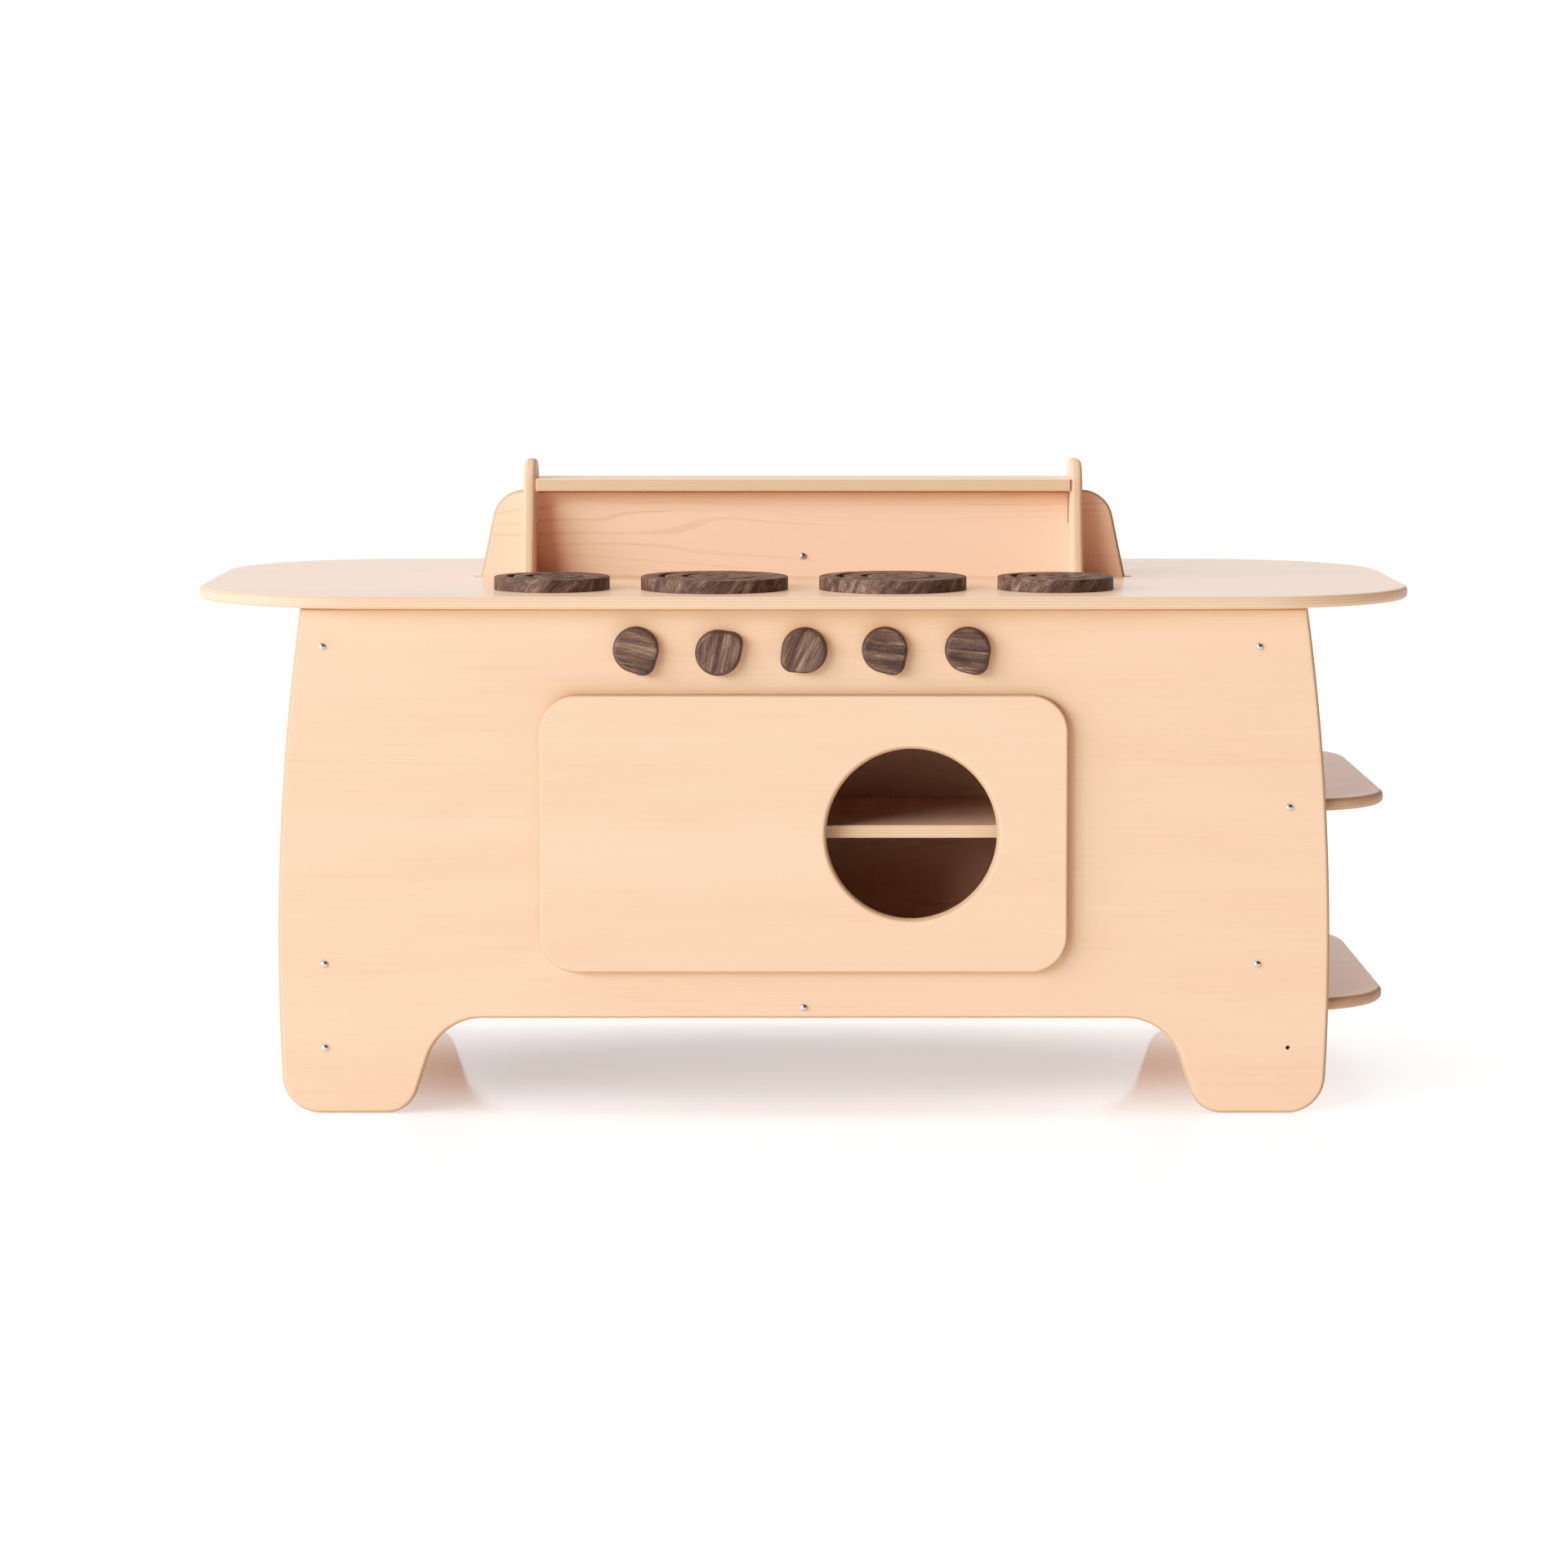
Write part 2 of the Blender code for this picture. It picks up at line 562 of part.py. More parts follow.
def make_knobs(walnut, steel):
    back = FRONT_Y - KNOB_STANDOFF             # the knob's rear face
    rear = FRONT_Y + PLY + KNOB_STANDOFF       # the spindle's flange bears on the panel here
    for i, (x, angle) in enumerate(zip(knob_places(), KNOB_ANGLES), start=1):
        y = back - KNOB_THICK / 2
        bm = extruded(knob_outline(), KNOB_THICK, KNOB_EDGE_R, faces=(1,))
        bmesh.ops.rotate(bm, cent=(0, 0, 0), matrix=Matrix.Rotation(angle, 3, "Z"), verts=bm.verts)
        knob = add_object(f"knob_{i}", bm, walnut, FACES_FRONT, (x, y, KNOB_Z))
        cut(knob, rod((x, back + PLY, KNOB_Z), (x, back - SPINDLE_INTO_KNOB - GAP, KNOB_Z),
                      SPINDLE_R + GAP))
        tip = back - SPINDLE_INTO_KNOB
        length = rear + SPINDLE_FLANGE - tip
        profile = [
            (0, 0),
            (SPINDLE_FLANGE_R, 0),
            (SPINDLE_FLANGE_R, SPINDLE_FLANGE),
            (SPINDLE_R, SPINDLE_FLANGE),
            (SPINDLE_R, length),
            (0, length),
        ]
        add_object(f"knob_spindle_{i}", turned(profile, 12), steel, FACES_FRONT,
                   (x, rear + SPINDLE_FLANGE, KNOB_Z))


# ---- Door, hinges and catch -----------------------------------------------------------------
def make_door(ply, steel, magnet):
    hinge = axis_empty("door_hinge_axis", (HINGE_X, DOOR_Y, DOOR_Z))
    outline = rectangle(DOOR_LEFT, DOOR_LEFT + DOOR_LENGTH, DOOR_LOW, DOOR_HIGH, DOOR_CORNER_R)
    outline = [(x - HINGE_X, z - DOOR_Z) for x, z in outline]
    bm = extruded(outline, PLY, DOOR_EDGE_R)
    door = add_object("oven_door", bm, ply, FACES_FRONT, (HINGE_X, DOOR_Y, DOOR_Z), hinge)
    # The window is its own round-edged hole, cut by a spool that widens towards both faces
    lip, flat = DOOR_EDGE_R, PLY / 2 - DOOR_EDGE_R
    flare = [(WINDOW_R + lip * (1 - math.cos(a)), flat + lip * math.sin(a))
             for a in (0, math.pi / 4, math.pi / 2)]
    past = (WINDOW_R + lip, PLY)
    half = [(0, PLY), past, *reversed(flare)]
    spool = half + [(r, -h) for r, h in reversed(half)]
    window = turned(spool, 56)
    place = Matrix.Translation((WINDOW_X, DOOR_Y, DOOR_Z)) @ Matrix.Rotation(math.pi / 2, 4, "X")
    bmesh.ops.transform(window, matrix=place, verts=window.verts)
    # The hinge mortises are open at the door's edge, so that it turns past a right angle
    tall = LEAF_HEIGHT / 2 + HINGE_AIR
    left, right = DOOR_LEFT - PLY, OPENING_LEFT + ARM_THICK + 2 * HINGE_AIR
    floor = DOOR_Y - KNUCKLE_R - GAP
    pockets = [
        block((left, floor, z - tall), (right, FRONT_Y + PLY, z + tall)) for _, z in hinge_heights()
    ]
    cut(door, window, *pockets)

    strike_right = OPENING_RIGHT - STRIKE_AIR
    strike_y = FRONT_Y + STRIKE_THICK / 2
    outline = rectangle(-STRIKE_LENGTH / 2, STRIKE_LENGTH / 2, -STRIKE_HEIGHT / 2, STRIKE_HEIGHT / 2)
    add_object("strike_plate", extruded(outline, STRIKE_THICK), steel, FACES_FRONT,
               (strike_right - STRIKE_LENGTH / 2, strike_y, CATCH_Z), hinge)
    catch_y = FRONT_Y + STRIKE_THICK + CATCH_AIR + CATCH_DEPTH / 2
    outline = rectangle(-CATCH_LENGTH / 2, CATCH_LENGTH / 2, -CATCH_HEIGHT / 2, CATCH_HEIGHT / 2)
    add_object("magnet_catch", extruded(outline, CATCH_DEPTH, 0.001, segments=1), magnet, FACES_FRONT,
               (OPENING_RIGHT - GAP - CATCH_LENGTH / 2, catch_y, CATCH_Z))
    return hinge


def arm_outline():
    """Plan of the fixed arm from the hinge's axis: knuckle, strip, then a foot on the panel."""
    inside = OPENING_LEFT - HINGE_X + HINGE_AIR          # the strip passes the opening's edge
    foot = FRONT_Y + PLY + GAP - DOOR_Y
    start = math.asin(ARM_RISE / KNUCKLE_R)
    knuckle = arc((0, 0), KNUCKLE_R, start, -1.5 * math.pi, 14)
    back = ARM_RISE + ARM_THICK
    return knuckle[:-1] + [
        (0, back),
        (inside, back),
        (inside, foot),
        (inside - ARM_FOOT, foot),
        (inside - ARM_FOOT, foot + ARM_THICK),
        (inside + ARM_THICK, foot + ARM_THICK),
        (inside + ARM_THICK, ARM_RISE),
    ]


def leaf_outline():
    """Plan of the door's leaf from the hinge's axis: knuckle and a plate on the pocket's floor."""
    end = OPENING_LEFT - HINGE_X - HINGE_AIR
    edge = -KNUCKLE_R + LEAF_THICK
    start = math.asin(edge / KNUCKLE_R)
    knuckle = arc((0, 0), KNUCKLE_R, start, 1.5 * math.pi, 14)
    return knuckle + [(end, -KNUCKLE_R), (end, edge)]


def hinge_heights():
    return (("lower", DOOR_LOW + HINGE_INSET), ("upper", DOOR_HIGH - HINGE_INSET))


def make_hinges(steel, hinge):
    tall = Vector((0, 0, LEAF_HEIGHT))
    reach = KNUCKLE_R + HINGE_AIR
    notch = Vector((reach, reach, ARM_HEIGHT / 2 + GAP))
    for word, z in hinge_heights():
        place = Vector((HINGE_X, DOOR_Y, z))
        leaf = add_object(f"{word}_hinge_leaf", extruded(leaf_outline(), LEAF_HEIGHT), steel,
                          LIES_FLAT, place, hinge)
        arm = add_object(f"{word}_hinge_arm", extruded(arm_outline(), ARM_HEIGHT), steel,
                         LIES_FLAT, place)
        for piece in (leaf, arm):
            cut(piece, rod(place - tall, place + tall, PIN_R + PIN_CLEARANCE))
        cut(leaf, block(place - notch, place + notch))
        add_object(f"{word}_hinge_pin", extruded(circle(PIN_R, 12), LEAF_HEIGHT), steel, LIES_FLAT,
                   place)


# ---- Bolts ----------------------------------------------------------------------------------
def bolt_shape(length=BOLT_LENGTH):
    """A domed head on a plain shank, its own +Z pointing out of the head and 0 under the head."""
    dome = [(BOLT_HEAD_R * math.cos(a), BOLT_HEAD * (0.25 + 0.75 * math.sin(a)))
            for a in (0, math.pi / 6, math.pi / 3)]
    head = [(0, BOLT_HEAD), *reversed(dome), (BOLT_HEAD_R, 0)]
    return turned(head + [(BOLT_R, 0), (BOLT_R, -length), (0, -length)], 12)


def make_bolts(steel):
    for face, side, turn in (("front", -1, FACES_FRONT), ("back", 1, FACES_BACK)):
        for name, x, z in panel_bolts():
            if face == "front" and name == "right_foot":
                continue                       # this hole is left open
            place = (x, side * (BODY_DEPTH / 2 + GAP), z)
            add_object(f"{face}_bolt_{name}", bolt_shape(), steel, turn, place)
    shelf_end = UPRIGHT_X + PLY / 2 + GAP
    add_object("hutch_bolt_left", bolt_shape(), steel, FACES_LEFT, (-shelf_end, 0, HUTCH_SHELF_Z))
    add_object("hutch_bolt_right", bolt_shape(), steel, FACES_RIGHT, (shelf_end, 0, HUTCH_SHELF_Z))
    short = PLY - HUTCH_BOLT_COVER - BORE_SPARE / 2
    add_object("hutch_bolt_centre", bolt_shape(short), steel, FACES_FRONT,
               (0, -PLY / 2 - GAP, HUTCH_BOLT_Z))


def main():
    for old in list(bpy.data.objects):
        bpy.data.objects.remove(old, do_unlink=True)
    ply = material("birch_plywood", (0.82, 0.61, 0.43), 0.5)
    beech = material("beech_batten", (0.72, 0.50, 0.34), 0.55)
    walnut = material("dark_walnut", (0.13, 0.075, 0.05), 0.55)
    steel = material("bright_steel", (0.75, 0.76, 0.78), 0.25, 1.0)
    magnet = material("white_plastic", (0.80, 0.80, 0.78), 0.4)
    make_body_panels(ply)
    make_side_panels(ply)
    make_boards(ply)
    make_centre_panel(ply)
    make_worktop(ply, beech)
    make_hutch(ply)
    make_burners(walnut)
    make_knobs(walnut, steel)
    hinge = make_door(ply, steel, magnet)
    make_hinges(steel, hinge)
    make_bolts(steel)


main()
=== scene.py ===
# %% [markdown]
# # A plywood play kitchen
# The real thing is a play kitchen for two sides: birch plywood boards bolted together, walnut
# burners and knobs, and an oven door on two small hinges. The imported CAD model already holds
# every part at its true size and place. This lesson gives it its looks. Boards are made again
# with smoother edges, and small fittings keep their CAD mesh and only get a finish.

# %% Load the frame
import json
import math

import bmesh
import bpy
from mathutils import Euler, Matrix, Vector


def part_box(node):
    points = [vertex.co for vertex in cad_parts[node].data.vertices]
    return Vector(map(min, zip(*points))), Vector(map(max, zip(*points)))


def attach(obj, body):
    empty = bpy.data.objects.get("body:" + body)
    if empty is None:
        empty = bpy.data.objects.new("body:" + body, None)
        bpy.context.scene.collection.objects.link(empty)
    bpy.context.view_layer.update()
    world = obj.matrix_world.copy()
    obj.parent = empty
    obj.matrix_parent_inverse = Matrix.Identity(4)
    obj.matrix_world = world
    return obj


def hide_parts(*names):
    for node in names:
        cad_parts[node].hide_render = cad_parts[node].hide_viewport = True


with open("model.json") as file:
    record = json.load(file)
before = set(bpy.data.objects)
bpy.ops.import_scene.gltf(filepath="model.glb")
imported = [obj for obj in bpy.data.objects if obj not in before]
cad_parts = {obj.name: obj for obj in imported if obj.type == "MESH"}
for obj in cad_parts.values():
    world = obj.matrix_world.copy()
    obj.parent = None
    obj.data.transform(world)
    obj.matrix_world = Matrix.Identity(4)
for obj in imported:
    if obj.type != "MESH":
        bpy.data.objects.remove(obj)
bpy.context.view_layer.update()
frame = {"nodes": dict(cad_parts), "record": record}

# %% [markdown]
# ## The camera
# Furniture is shown with a long lens from a little above its middle. A short lens would bend the
# long worktop. The upright edges stay upright if the camera is level and its lens is shifted. A
# large shift spoils every other view, so about half of it is given as a slight downward tilt.

# %% Place the camera
CAMERA_PLACE = (-0.0237, -5.503, 1.0116)
CAMERA_TILT = math.radians(3.70)
CAMERA_LENS = 100.8
CAMERA_SHIFT = -0.1496

scene = bpy.context.scene
camera_data = bpy.data.cameras.new("product_camera")
camera_data.lens = CAMERA_LENS
camera_data.sensor_width = 36
camera_data.shift_y = CAMERA_SHIFT
camera_data.clip_start = 0.05
camera_data.clip_end = 200
camera = bpy.data.objects.new("product_camera", camera_data)
camera.location = CAMERA_PLACE
camera.rotation_euler = (math.pi / 2 - CAMERA_TILT, 0, 0)
bpy.context.collection.objects.link(camera)
scene.camera = camera
print("camera", camera_data.lens, "mm, shift", camera_data.shift_y)

# %% [markdown]
# ## The exposure
# A studio picture of pale wood is exposed bright, so that the background is pure white. The wood's
# lit faces then turn paler and its shaded edges keep their full colour. A plain transform would clip
# the faces instead. A curve with a soft shoulder holds them back, and light at its end is white.

# %% Set the exposure
WHITE_LIGHT = 1.45          # light this strong comes out white
SHOULDER = ((0.15, 0.145), (0.30, 0.30), (0.50, 0.49), (0.80, 0.70), (1.05, 0.84), (1.25, 0.955))
view = scene.view_settings
view.view_transform = "Standard"
view.use_curve_mapping = True
view.curve_mapping.white_level = (WHITE_LIGHT, WHITE_LIGHT, WHITE_LIGHT)
tone_curve = view.curve_mapping.curves[3]
for light, shown in SHOULDER:
    tone_curve.points.new(light / WHITE_LIGHT, shown)
view.curve_mapping.update()
print("tone curve has", len(tone_curve.points), "points")

# %% [markdown]
# ## Sums on shader sockets
# A wood needs many small sums: this noise minus that one, times a mask. A Math node for each is
# long to write out. A class that wraps a socket and answers to + - * / adds the node itself, so a
# finish reads like arithmetic. Everything that isn't a sum comes from one method, node().


# %% A socket that can be added and multiplied
class Value:
    """The output of a node in one finish. A sum on it adds a Math node there."""

    def __init__(self, finish, socket):
        self.finish = finish
        self.socket = socket

    def __add__(self, other):
        return self.finish.maths("ADD", self, other)

    def __radd__(self, other):
        return self.finish.maths("ADD", other, self)

    def __sub__(self, other):
        return self.finish.maths("SUBTRACT", self, other)

    def __rsub__(self, other):
        return self.finish.maths("SUBTRACT", other, self)

    def __mul__(self, other):
        return self.finish.maths("MULTIPLY", self, other)

    def __rmul__(self, other):
        return self.finish.maths("MULTIPLY", other, self)

    def __truediv__(self, other):
        return self.finish.maths("DIVIDE", self, other)

    def __rtruediv__(self, other):
        return self.finish.maths("DIVIDE", other, self)


print("sockets answer to + - * /")

# %% [markdown]
# ## A material and the nodes it needs
# A finish is one material. It holds the Principled shader and adds a node whenever a sum, a noise or
# a blend asks for one. The values that never vary are given by name when it is made, and the ones
# that do vary are fed to it last.


# %% A finish under construction
class Finish:
    """A material, its Principled shader, and the few nodes that every wood here needs."""

    def __init__(self, name, **fixed):
        self.material = bpy.data.materials.new(name)
        self.material.use_nodes = True
        self.tree = self.material.node_tree
        self.shader = self.tree.nodes["Principled BSDF"]
        for socket, value in fixed.items():
            self.shader.inputs[socket.replace("_", " ")].default_value = value

    def node(self, kind, settings, sockets, out=0):
        """A node of a type, with its settings, then the values or links of its sockets."""
        made = self.tree.nodes.new("ShaderNode" + kind)
        for name, value in settings.items():
            if name == "stops":
                ramp = made.color_ramp
                ramp.elements[0].position, ramp.elements[-1].position = value[0][0], value[-1][0]
                for place, _ in value[1:-1]:
                    ramp.elements.new(place)
                for element, (_, colour) in zip(ramp.elements, value):
                    element.color = (*colour, 1)
            else:
                setattr(made, name, value)
        for name, value in sockets.items():
            if isinstance(value, Value):
                self.tree.links.new(value.socket, made.inputs[name])
            else:
                made.inputs[name].default_value = value
        return Value(self, made.outputs[out])

    def maths(self, operation, first, second=0.0):
        return self.node("Math", {"operation": operation}, {0: first, 1: second})

    def object_axes(self):
        """The three Object coordinates as separate values."""
        point = self.node("TexCoord", {}, {}, out="Object")
        return [self.node("SeparateXYZ", {}, {"Vector": point}, out=i) for i in range(3)]

    def combine(self, x, y, z):
        return self.node("CombineXYZ", {}, {"X": x, "Y": y, "Z": z})

    def noise(self, point, size, detail=2.0, roughness=0.5, wander=0.0, turn=(0, 0, 0)):
        """Soft noise whose patches have a size in metres along each axis of the turned point."""
        place = self.node("Mapping", {"vector_type": "TEXTURE"},
                          {"Vector": point, "Rotation": turn, "Scale": size})
        return self.node("TexNoise", {}, {"Vector": place, "Scale": 1.0, "Detail": detail,
                                          "Roughness": roughness, "Distortion": wander})

    def step(self, value, low, high):
        """0 below low, 1 above high and smooth between."""
        return self.node("MapRange", {"interpolation_type": "SMOOTHSTEP"},
                         {"Value": value, "From Min": low, "From Max": high})

    def blend(self, first, second, factor):
        """From the first colour to the second as the factor goes from 0 to 1."""
        first, second = [c if isinstance(c, Value) else (*c, 1) for c in (first, second)]
        return self.node("Mix", {"data_type": "RGBA"}, {0: factor, 6: first, 7: second}, out=2)

    def shade(self, **links):
        """Feeds values and colours to the shader."""
        for socket, value in links.items():
            self.tree.links.new(value.socket, self.shader.inputs[socket.replace("_", " ")])
        return self.material

    def bump(self, height, distance):
        return self.node("Bump", {}, {"Height": height, "Distance": distance, "Strength": 1.0})


print("a Finish has noise, step, blend and bump")

# %% [markdown]
# ## Birch plywood
# Birch plywood has a pale, quiet face with long soft streaks, a few darker growth lines that wander
# like contours on a map, and fine fibres. On a cut edge its crosswise layers show as darker stripes.
# An image could show all that, but would stretch round the rounded edges. A solid pattern doesn't:
# it is worked out at each point in space, so the depth below the face tells which layer is cut.
# Boards differ: some have a thick lacquer, and some are given a paler, pinker face, which is
# painted light for boards that the lamps leave too dark. Cut edges are pale, or darker with painted
# shade. Each board gets its own share of these.

# %% The plywood finish
LAYERS = 8.7                # nine layers, the two outer ones sanded thinner
FACE_PALE = (0.757, 0.474, 0.308)
FACE_WARM = (0.685, 0.393, 0.236)
GROWTH_LINE = (0.500, 0.270, 0.165)
RING_RATE = 420             # radians of ring for each metre across the grain
RING_WANDER = 50            # radians that the wandering contour adds to them
# painted light: a paler, pinker face that brightens boards the lamps leave too dark
PALE_FACE_PAINTED_LIGHT = (0.900, 0.575, 0.400)
CUT_PALE = (0.715, 0.438, 0.277)
# painted shade: a darker colour for the cut edges of boards whose edges look shaded
CUT_EDGE_PAINTED_SHADE = (0.500, 0.300, 0.185)
LAYER_DARK = (0.400, 0.228, 0.130)
GLUE_LINE = (0.320, 0.178, 0.100)
LACQUER_COAT = 0.55         # weight of the clear coat on a fully lacquered face
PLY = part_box("worktop")[1].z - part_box("worktop")[0].z


def plywood(name, grain, faces, middle, figure, shift, lacquer, pale_painted_light, cut_edge):
    """Plywood with its grain along one axis and its faces across another, both X, Y or Z."""
    wood = Finish(name, Coat_Roughness=0.22, Specular_IOR_Level=0.25 * lacquer)
    axes = dict(zip("XYZ", wood.object_axes()))
    across = next(a for a in "XYZ" if a not in (grain, faces))
    depth = axes[faces] - middle
    point = wood.combine(axes[grain] + shift, axes[across] + 0.37 * shift, depth)

    broad = wood.noise(point, (0.55, 0.075, 0.4), detail=3, wander=0.4)
    streak = wood.noise(point, (0.16, 0.0075, 0.05), detail=3, roughness=0.6)
    fibre = wood.noise(point, (0.022, 0.0007, 0.004), detail=2)
    contour = wood.noise(point, (0.50, 0.085, 0.3), detail=2, roughness=0.45, wander=0.4)
    rings = wood.maths("SINE", axes[across] * RING_RATE + contour * RING_WANDER)
    growth = wood.step(rings, 0.55, 1.0) * wood.step(broad, 0.46, 0.60)

    warm = (broad - 0.5) * 1.1 + (streak - 0.5) * 0.55 + (fibre - 0.5) * 0.35 + 0.35
    face = wood.blend(FACE_PALE, FACE_WARM, wood.step(warm, -0.25, 1.15))
    # painted light: the paler face is blended in by each board's share
    face = wood.blend(face, PALE_FACE_PAINTED_LIGHT, pale_painted_light)
    face = wood.blend(face, GROWTH_LINE, growth * figure * (streak + 0.3))

    outer = wood.step(wood.maths("ABSOLUTE", depth), 0.44 * PLY, 0.495 * PLY)
    layer = wood.maths("SINE", (depth * (LAYERS / PLY) + 4.5) * math.pi)
    crosswise = 1 - wood.step(layer, -0.22, 0.22)
    glue = 1 - wood.step(wood.maths("ABSOLUTE", layer), 0.0, 0.2)
    speckle = wood.noise(point, (0.0012, 0.0012, 0.003), detail=2, roughness=0.7)
    # the cut edge's colour; the darker one that most boards get is painted shade
    colour = wood.blend(cut_edge, face, outer)
    colour = wood.blend(colour, LAYER_DARK, crosswise * (0.16 + speckle * 0.26))
    colour = wood.blend(colour, GLUE_LINE, glue * 0.22)

    height = fibre * 0.5 + streak * 0.3 - growth * 0.25 - crosswise * 0.5
    return wood.shade(
        Base_Color=colour,
        Coat_Weight=outer * (LACQUER_COAT * lacquer),
        Roughness=0.40 + streak * 0.14 + fibre * 0.08 + crosswise * 0.16,
        Normal=wood.bump(height, 0.00018),
    )


print("plywood layers are", round(PLY / LAYERS * 1000, 2), "mm thick")

# %% [markdown]
# ## Walnut
# The burners and knobs are dark walnut, oiled and not lacquered. Its streaks are strong: nearly
# black, brown and pale grey ones lie side by side, with short open pores that follow them. A colour
# ramp over stretched noise gives such bands. The turn says which way the plank lay when it was cut.

# %% The walnut finish
WALNUT_TONES = (
    (0.30, (0.030, 0.012, 0.007)),
    (0.44, (0.076, 0.035, 0.021)),
    (0.56, (0.118, 0.063, 0.041)),
    (0.72, (0.260, 0.172, 0.118)),
)
PALE_FLECK = (0.330, 0.240, 0.175)
OPEN_PORE = (0.020, 0.011, 0.008)
RIM_PAINTED_SHADE = (0.060, 0.026, 0.014)


def walnut(name, turn, shift, front=None):
    """Walnut whose grain runs along its own X after a turn, with painted shade behind a front face
    if given.
    """
    wood = Finish(name, Specular_IOR_Level=0.30)
    x, y, z = wood.object_axes()
    point = wood.combine(x + shift[0], y + shift[1], z + shift[2])
    broad = wood.noise(point, (0.11, 0.010, 0.010), detail=2, wander=0.5, turn=turn)
    streak = wood.noise(point, (0.030, 0.0014, 0.0014), detail=4, roughness=0.75, turn=turn)
    pore = wood.noise(point, (0.0055, 0.0005, 0.0005), detail=2, turn=turn)
    dust = wood.noise(point, (0.0030, 0.0008, 0.0008), detail=3, roughness=0.7, turn=turn)
    tone = broad * 0.95 + streak * 1.0 + pore * 0.3 - 0.65
    colour = wood.node("ValToRGB", {"stops": WALNUT_TONES}, {"Fac": tone})
    open_pore = wood.step(pore, 0.58, 0.70)
    colour = wood.blend(colour, PALE_FLECK, wood.step(dust, 0.56, 0.74) * 0.5)
    colour = wood.blend(colour, OPEN_PORE, open_pore * 0.6)
    if front is not None:
        # painted shade: the rim and sides behind the knob's front face are darker
        colour = wood.blend(colour, RIM_PAINTED_SHADE, wood.step(y - front, 0.0004, 0.0022) * 0.7)
    return wood.shade(
        Base_Color=colour,
        Roughness=0.46 + streak * 0.16,
        Normal=wood.bump(streak * 0.4 + pore * 0.3 - open_pore * 0.6, 0.00035),
    )


print("walnut has", len(WALNUT_TONES), "tones")

# %% [markdown]
# ## Solid beech
# The two battens under the worktop are solid wood, not plywood, so no layers show on their ends.
# Beech is known by its short dark flecks, which are the rays of the tree seen edge on.


# %% The beech finish
def beech(name):
    wood = Finish(name, Specular_IOR_Level=0.35)
    x, y, z = wood.object_axes()
    point = wood.combine(x, y, z)
    streak = wood.noise(point, (0.12, 0.004, 0.004), detail=3, roughness=0.6)
    fleck = wood.step(wood.noise(point, (0.004, 0.0006, 0.0006), detail=1), 0.60, 0.68)
    colour = wood.blend((0.70, 0.48, 0.32), (0.54, 0.33, 0.20), streak)
    colour = wood.blend(colour, (0.34, 0.18, 0.10), fleck * 0.7)
    return wood.shade(Base_Color=colour, Roughness=0.5 + streak * 0.2,
                      Normal=wood.bump(streak - fleck * 0.5, 0.0002))


BEECH = beech("beech")
print("beech ready")

# %% [markdown]
# ## Metal and plastic
# Bolt heads are bright and nearly polished, with faint handling marks. Hinges are stamped from
# rolled sheet, so fine straight scratches cover them and they shine less. The magnet's case is
# moulded plastic with a fine even grain from the mould.


# %% The metal and plastic finishes
def steel(name, colour, rough, scratch, marks):
    """Steel with scratches of a size along each axis, more or less rough between its marks."""
    metal = Finish(name, Metallic=1.0)
    x, y, z = metal.object_axes()
    point = metal.combine(x, y, z)
    line = metal.noise(point, scratch, detail=3, roughness=0.7)
    smear = metal.noise(point, (0.006, 0.006, 0.006), detail=3)
    dull = [0.72 * c for c in colour]
    return metal.shade(
        Base_Color=metal.blend(colour, dull, metal.step(line * 0.6 + smear * 0.4, 0.45, 0.75)),
        Roughness=rough + marks * line + 0.5 * marks * smear,
        Normal=metal.bump(line, 0.00003),
    )


def moulded_plastic(name):
    case = Finish(name, Specular_IOR_Level=0.5)
    x, y, z = case.object_axes()
    point = case.combine(x, y, z)
    sand = case.noise(point, (0.0006, 0.0006, 0.0006), detail=2)
    tint = case.noise(point, (0.02, 0.02, 0.02), detail=2)
    return case.shade(
        Base_Color=case.blend((0.80, 0.80, 0.78), (0.70, 0.69, 0.65), tint),
        Roughness=0.36 + 0.16 * sand,
        Normal=case.bump(sand, 0.00006),
    )


BOLT_STEEL = steel("bolt_steel", (0.46, 0.46, 0.47), 0.08, (0.0016, 0.0016, 0.0016), 0.16)
HINGE_STEEL = steel("hinge_steel", (0.66, 0.66, 0.65), 0.22, (0.012, 0.012, 0.00035), 0.25)
PLASTIC = moulded_plastic("white_plastic")
print("steel and plastic ready")

# %% [markdown]
# ## Outlines
# Nearly every part is a flat board, so it starts as an outline. Corners are given with a radius, and
# one function turns them into points. Four degrees between the points of an arc keep the largest
# corner smooth from close by.

# %% Arcs and rounded corners
ARC_STEP = math.radians(4)


def arc(centre, radius, start, end):
    """Points on an arc from one angle to another, an arc's step apart."""
    steps = max(3, math.ceil(abs(end - start) / ARC_STEP))
    angles = [start + (end - start) * i / steps for i in range(steps + 1)]
    return [(centre[0] + radius * math.cos(a), centre[1] + radius * math.sin(a)) for a in angles]


def rounded(corners):
    """The outline through corners given as (x, y, radius), each rounded to its radius."""
    points = []
    for i, (x, y, radius) in enumerate(corners):
        if radius == 0:
            points.append((x, y))
            continue
        corner = Vector((x, y))
        back = (Vector(corners[i - 1][:2]) - corner).normalized()
        ahead = (Vector(corners[(i + 1) % len(corners)][:2]) - corner).normalized()
        half = back.angle(ahead) / 2
        centre = corner + (back + ahead).normalized() * radius / math.sin(half)
        first = corner + back * radius / math.tan(half) - centre
        last = corner + ahead * radius / math.tan(half) - centre
        start = math.atan2(first.y, first.x)
        turn = (math.atan2(last.y, last.x) - start + math.pi) % math.tau - math.pi
        points += arc(centre, radius, start, start + turn)
    return points


def rectangle(x0, x1, y0, y1, radius=0.0):
    return rounded([(x0, y0, radius), (x1, y0, radius), (x1, y1, radius), (x0, y1, radius)])


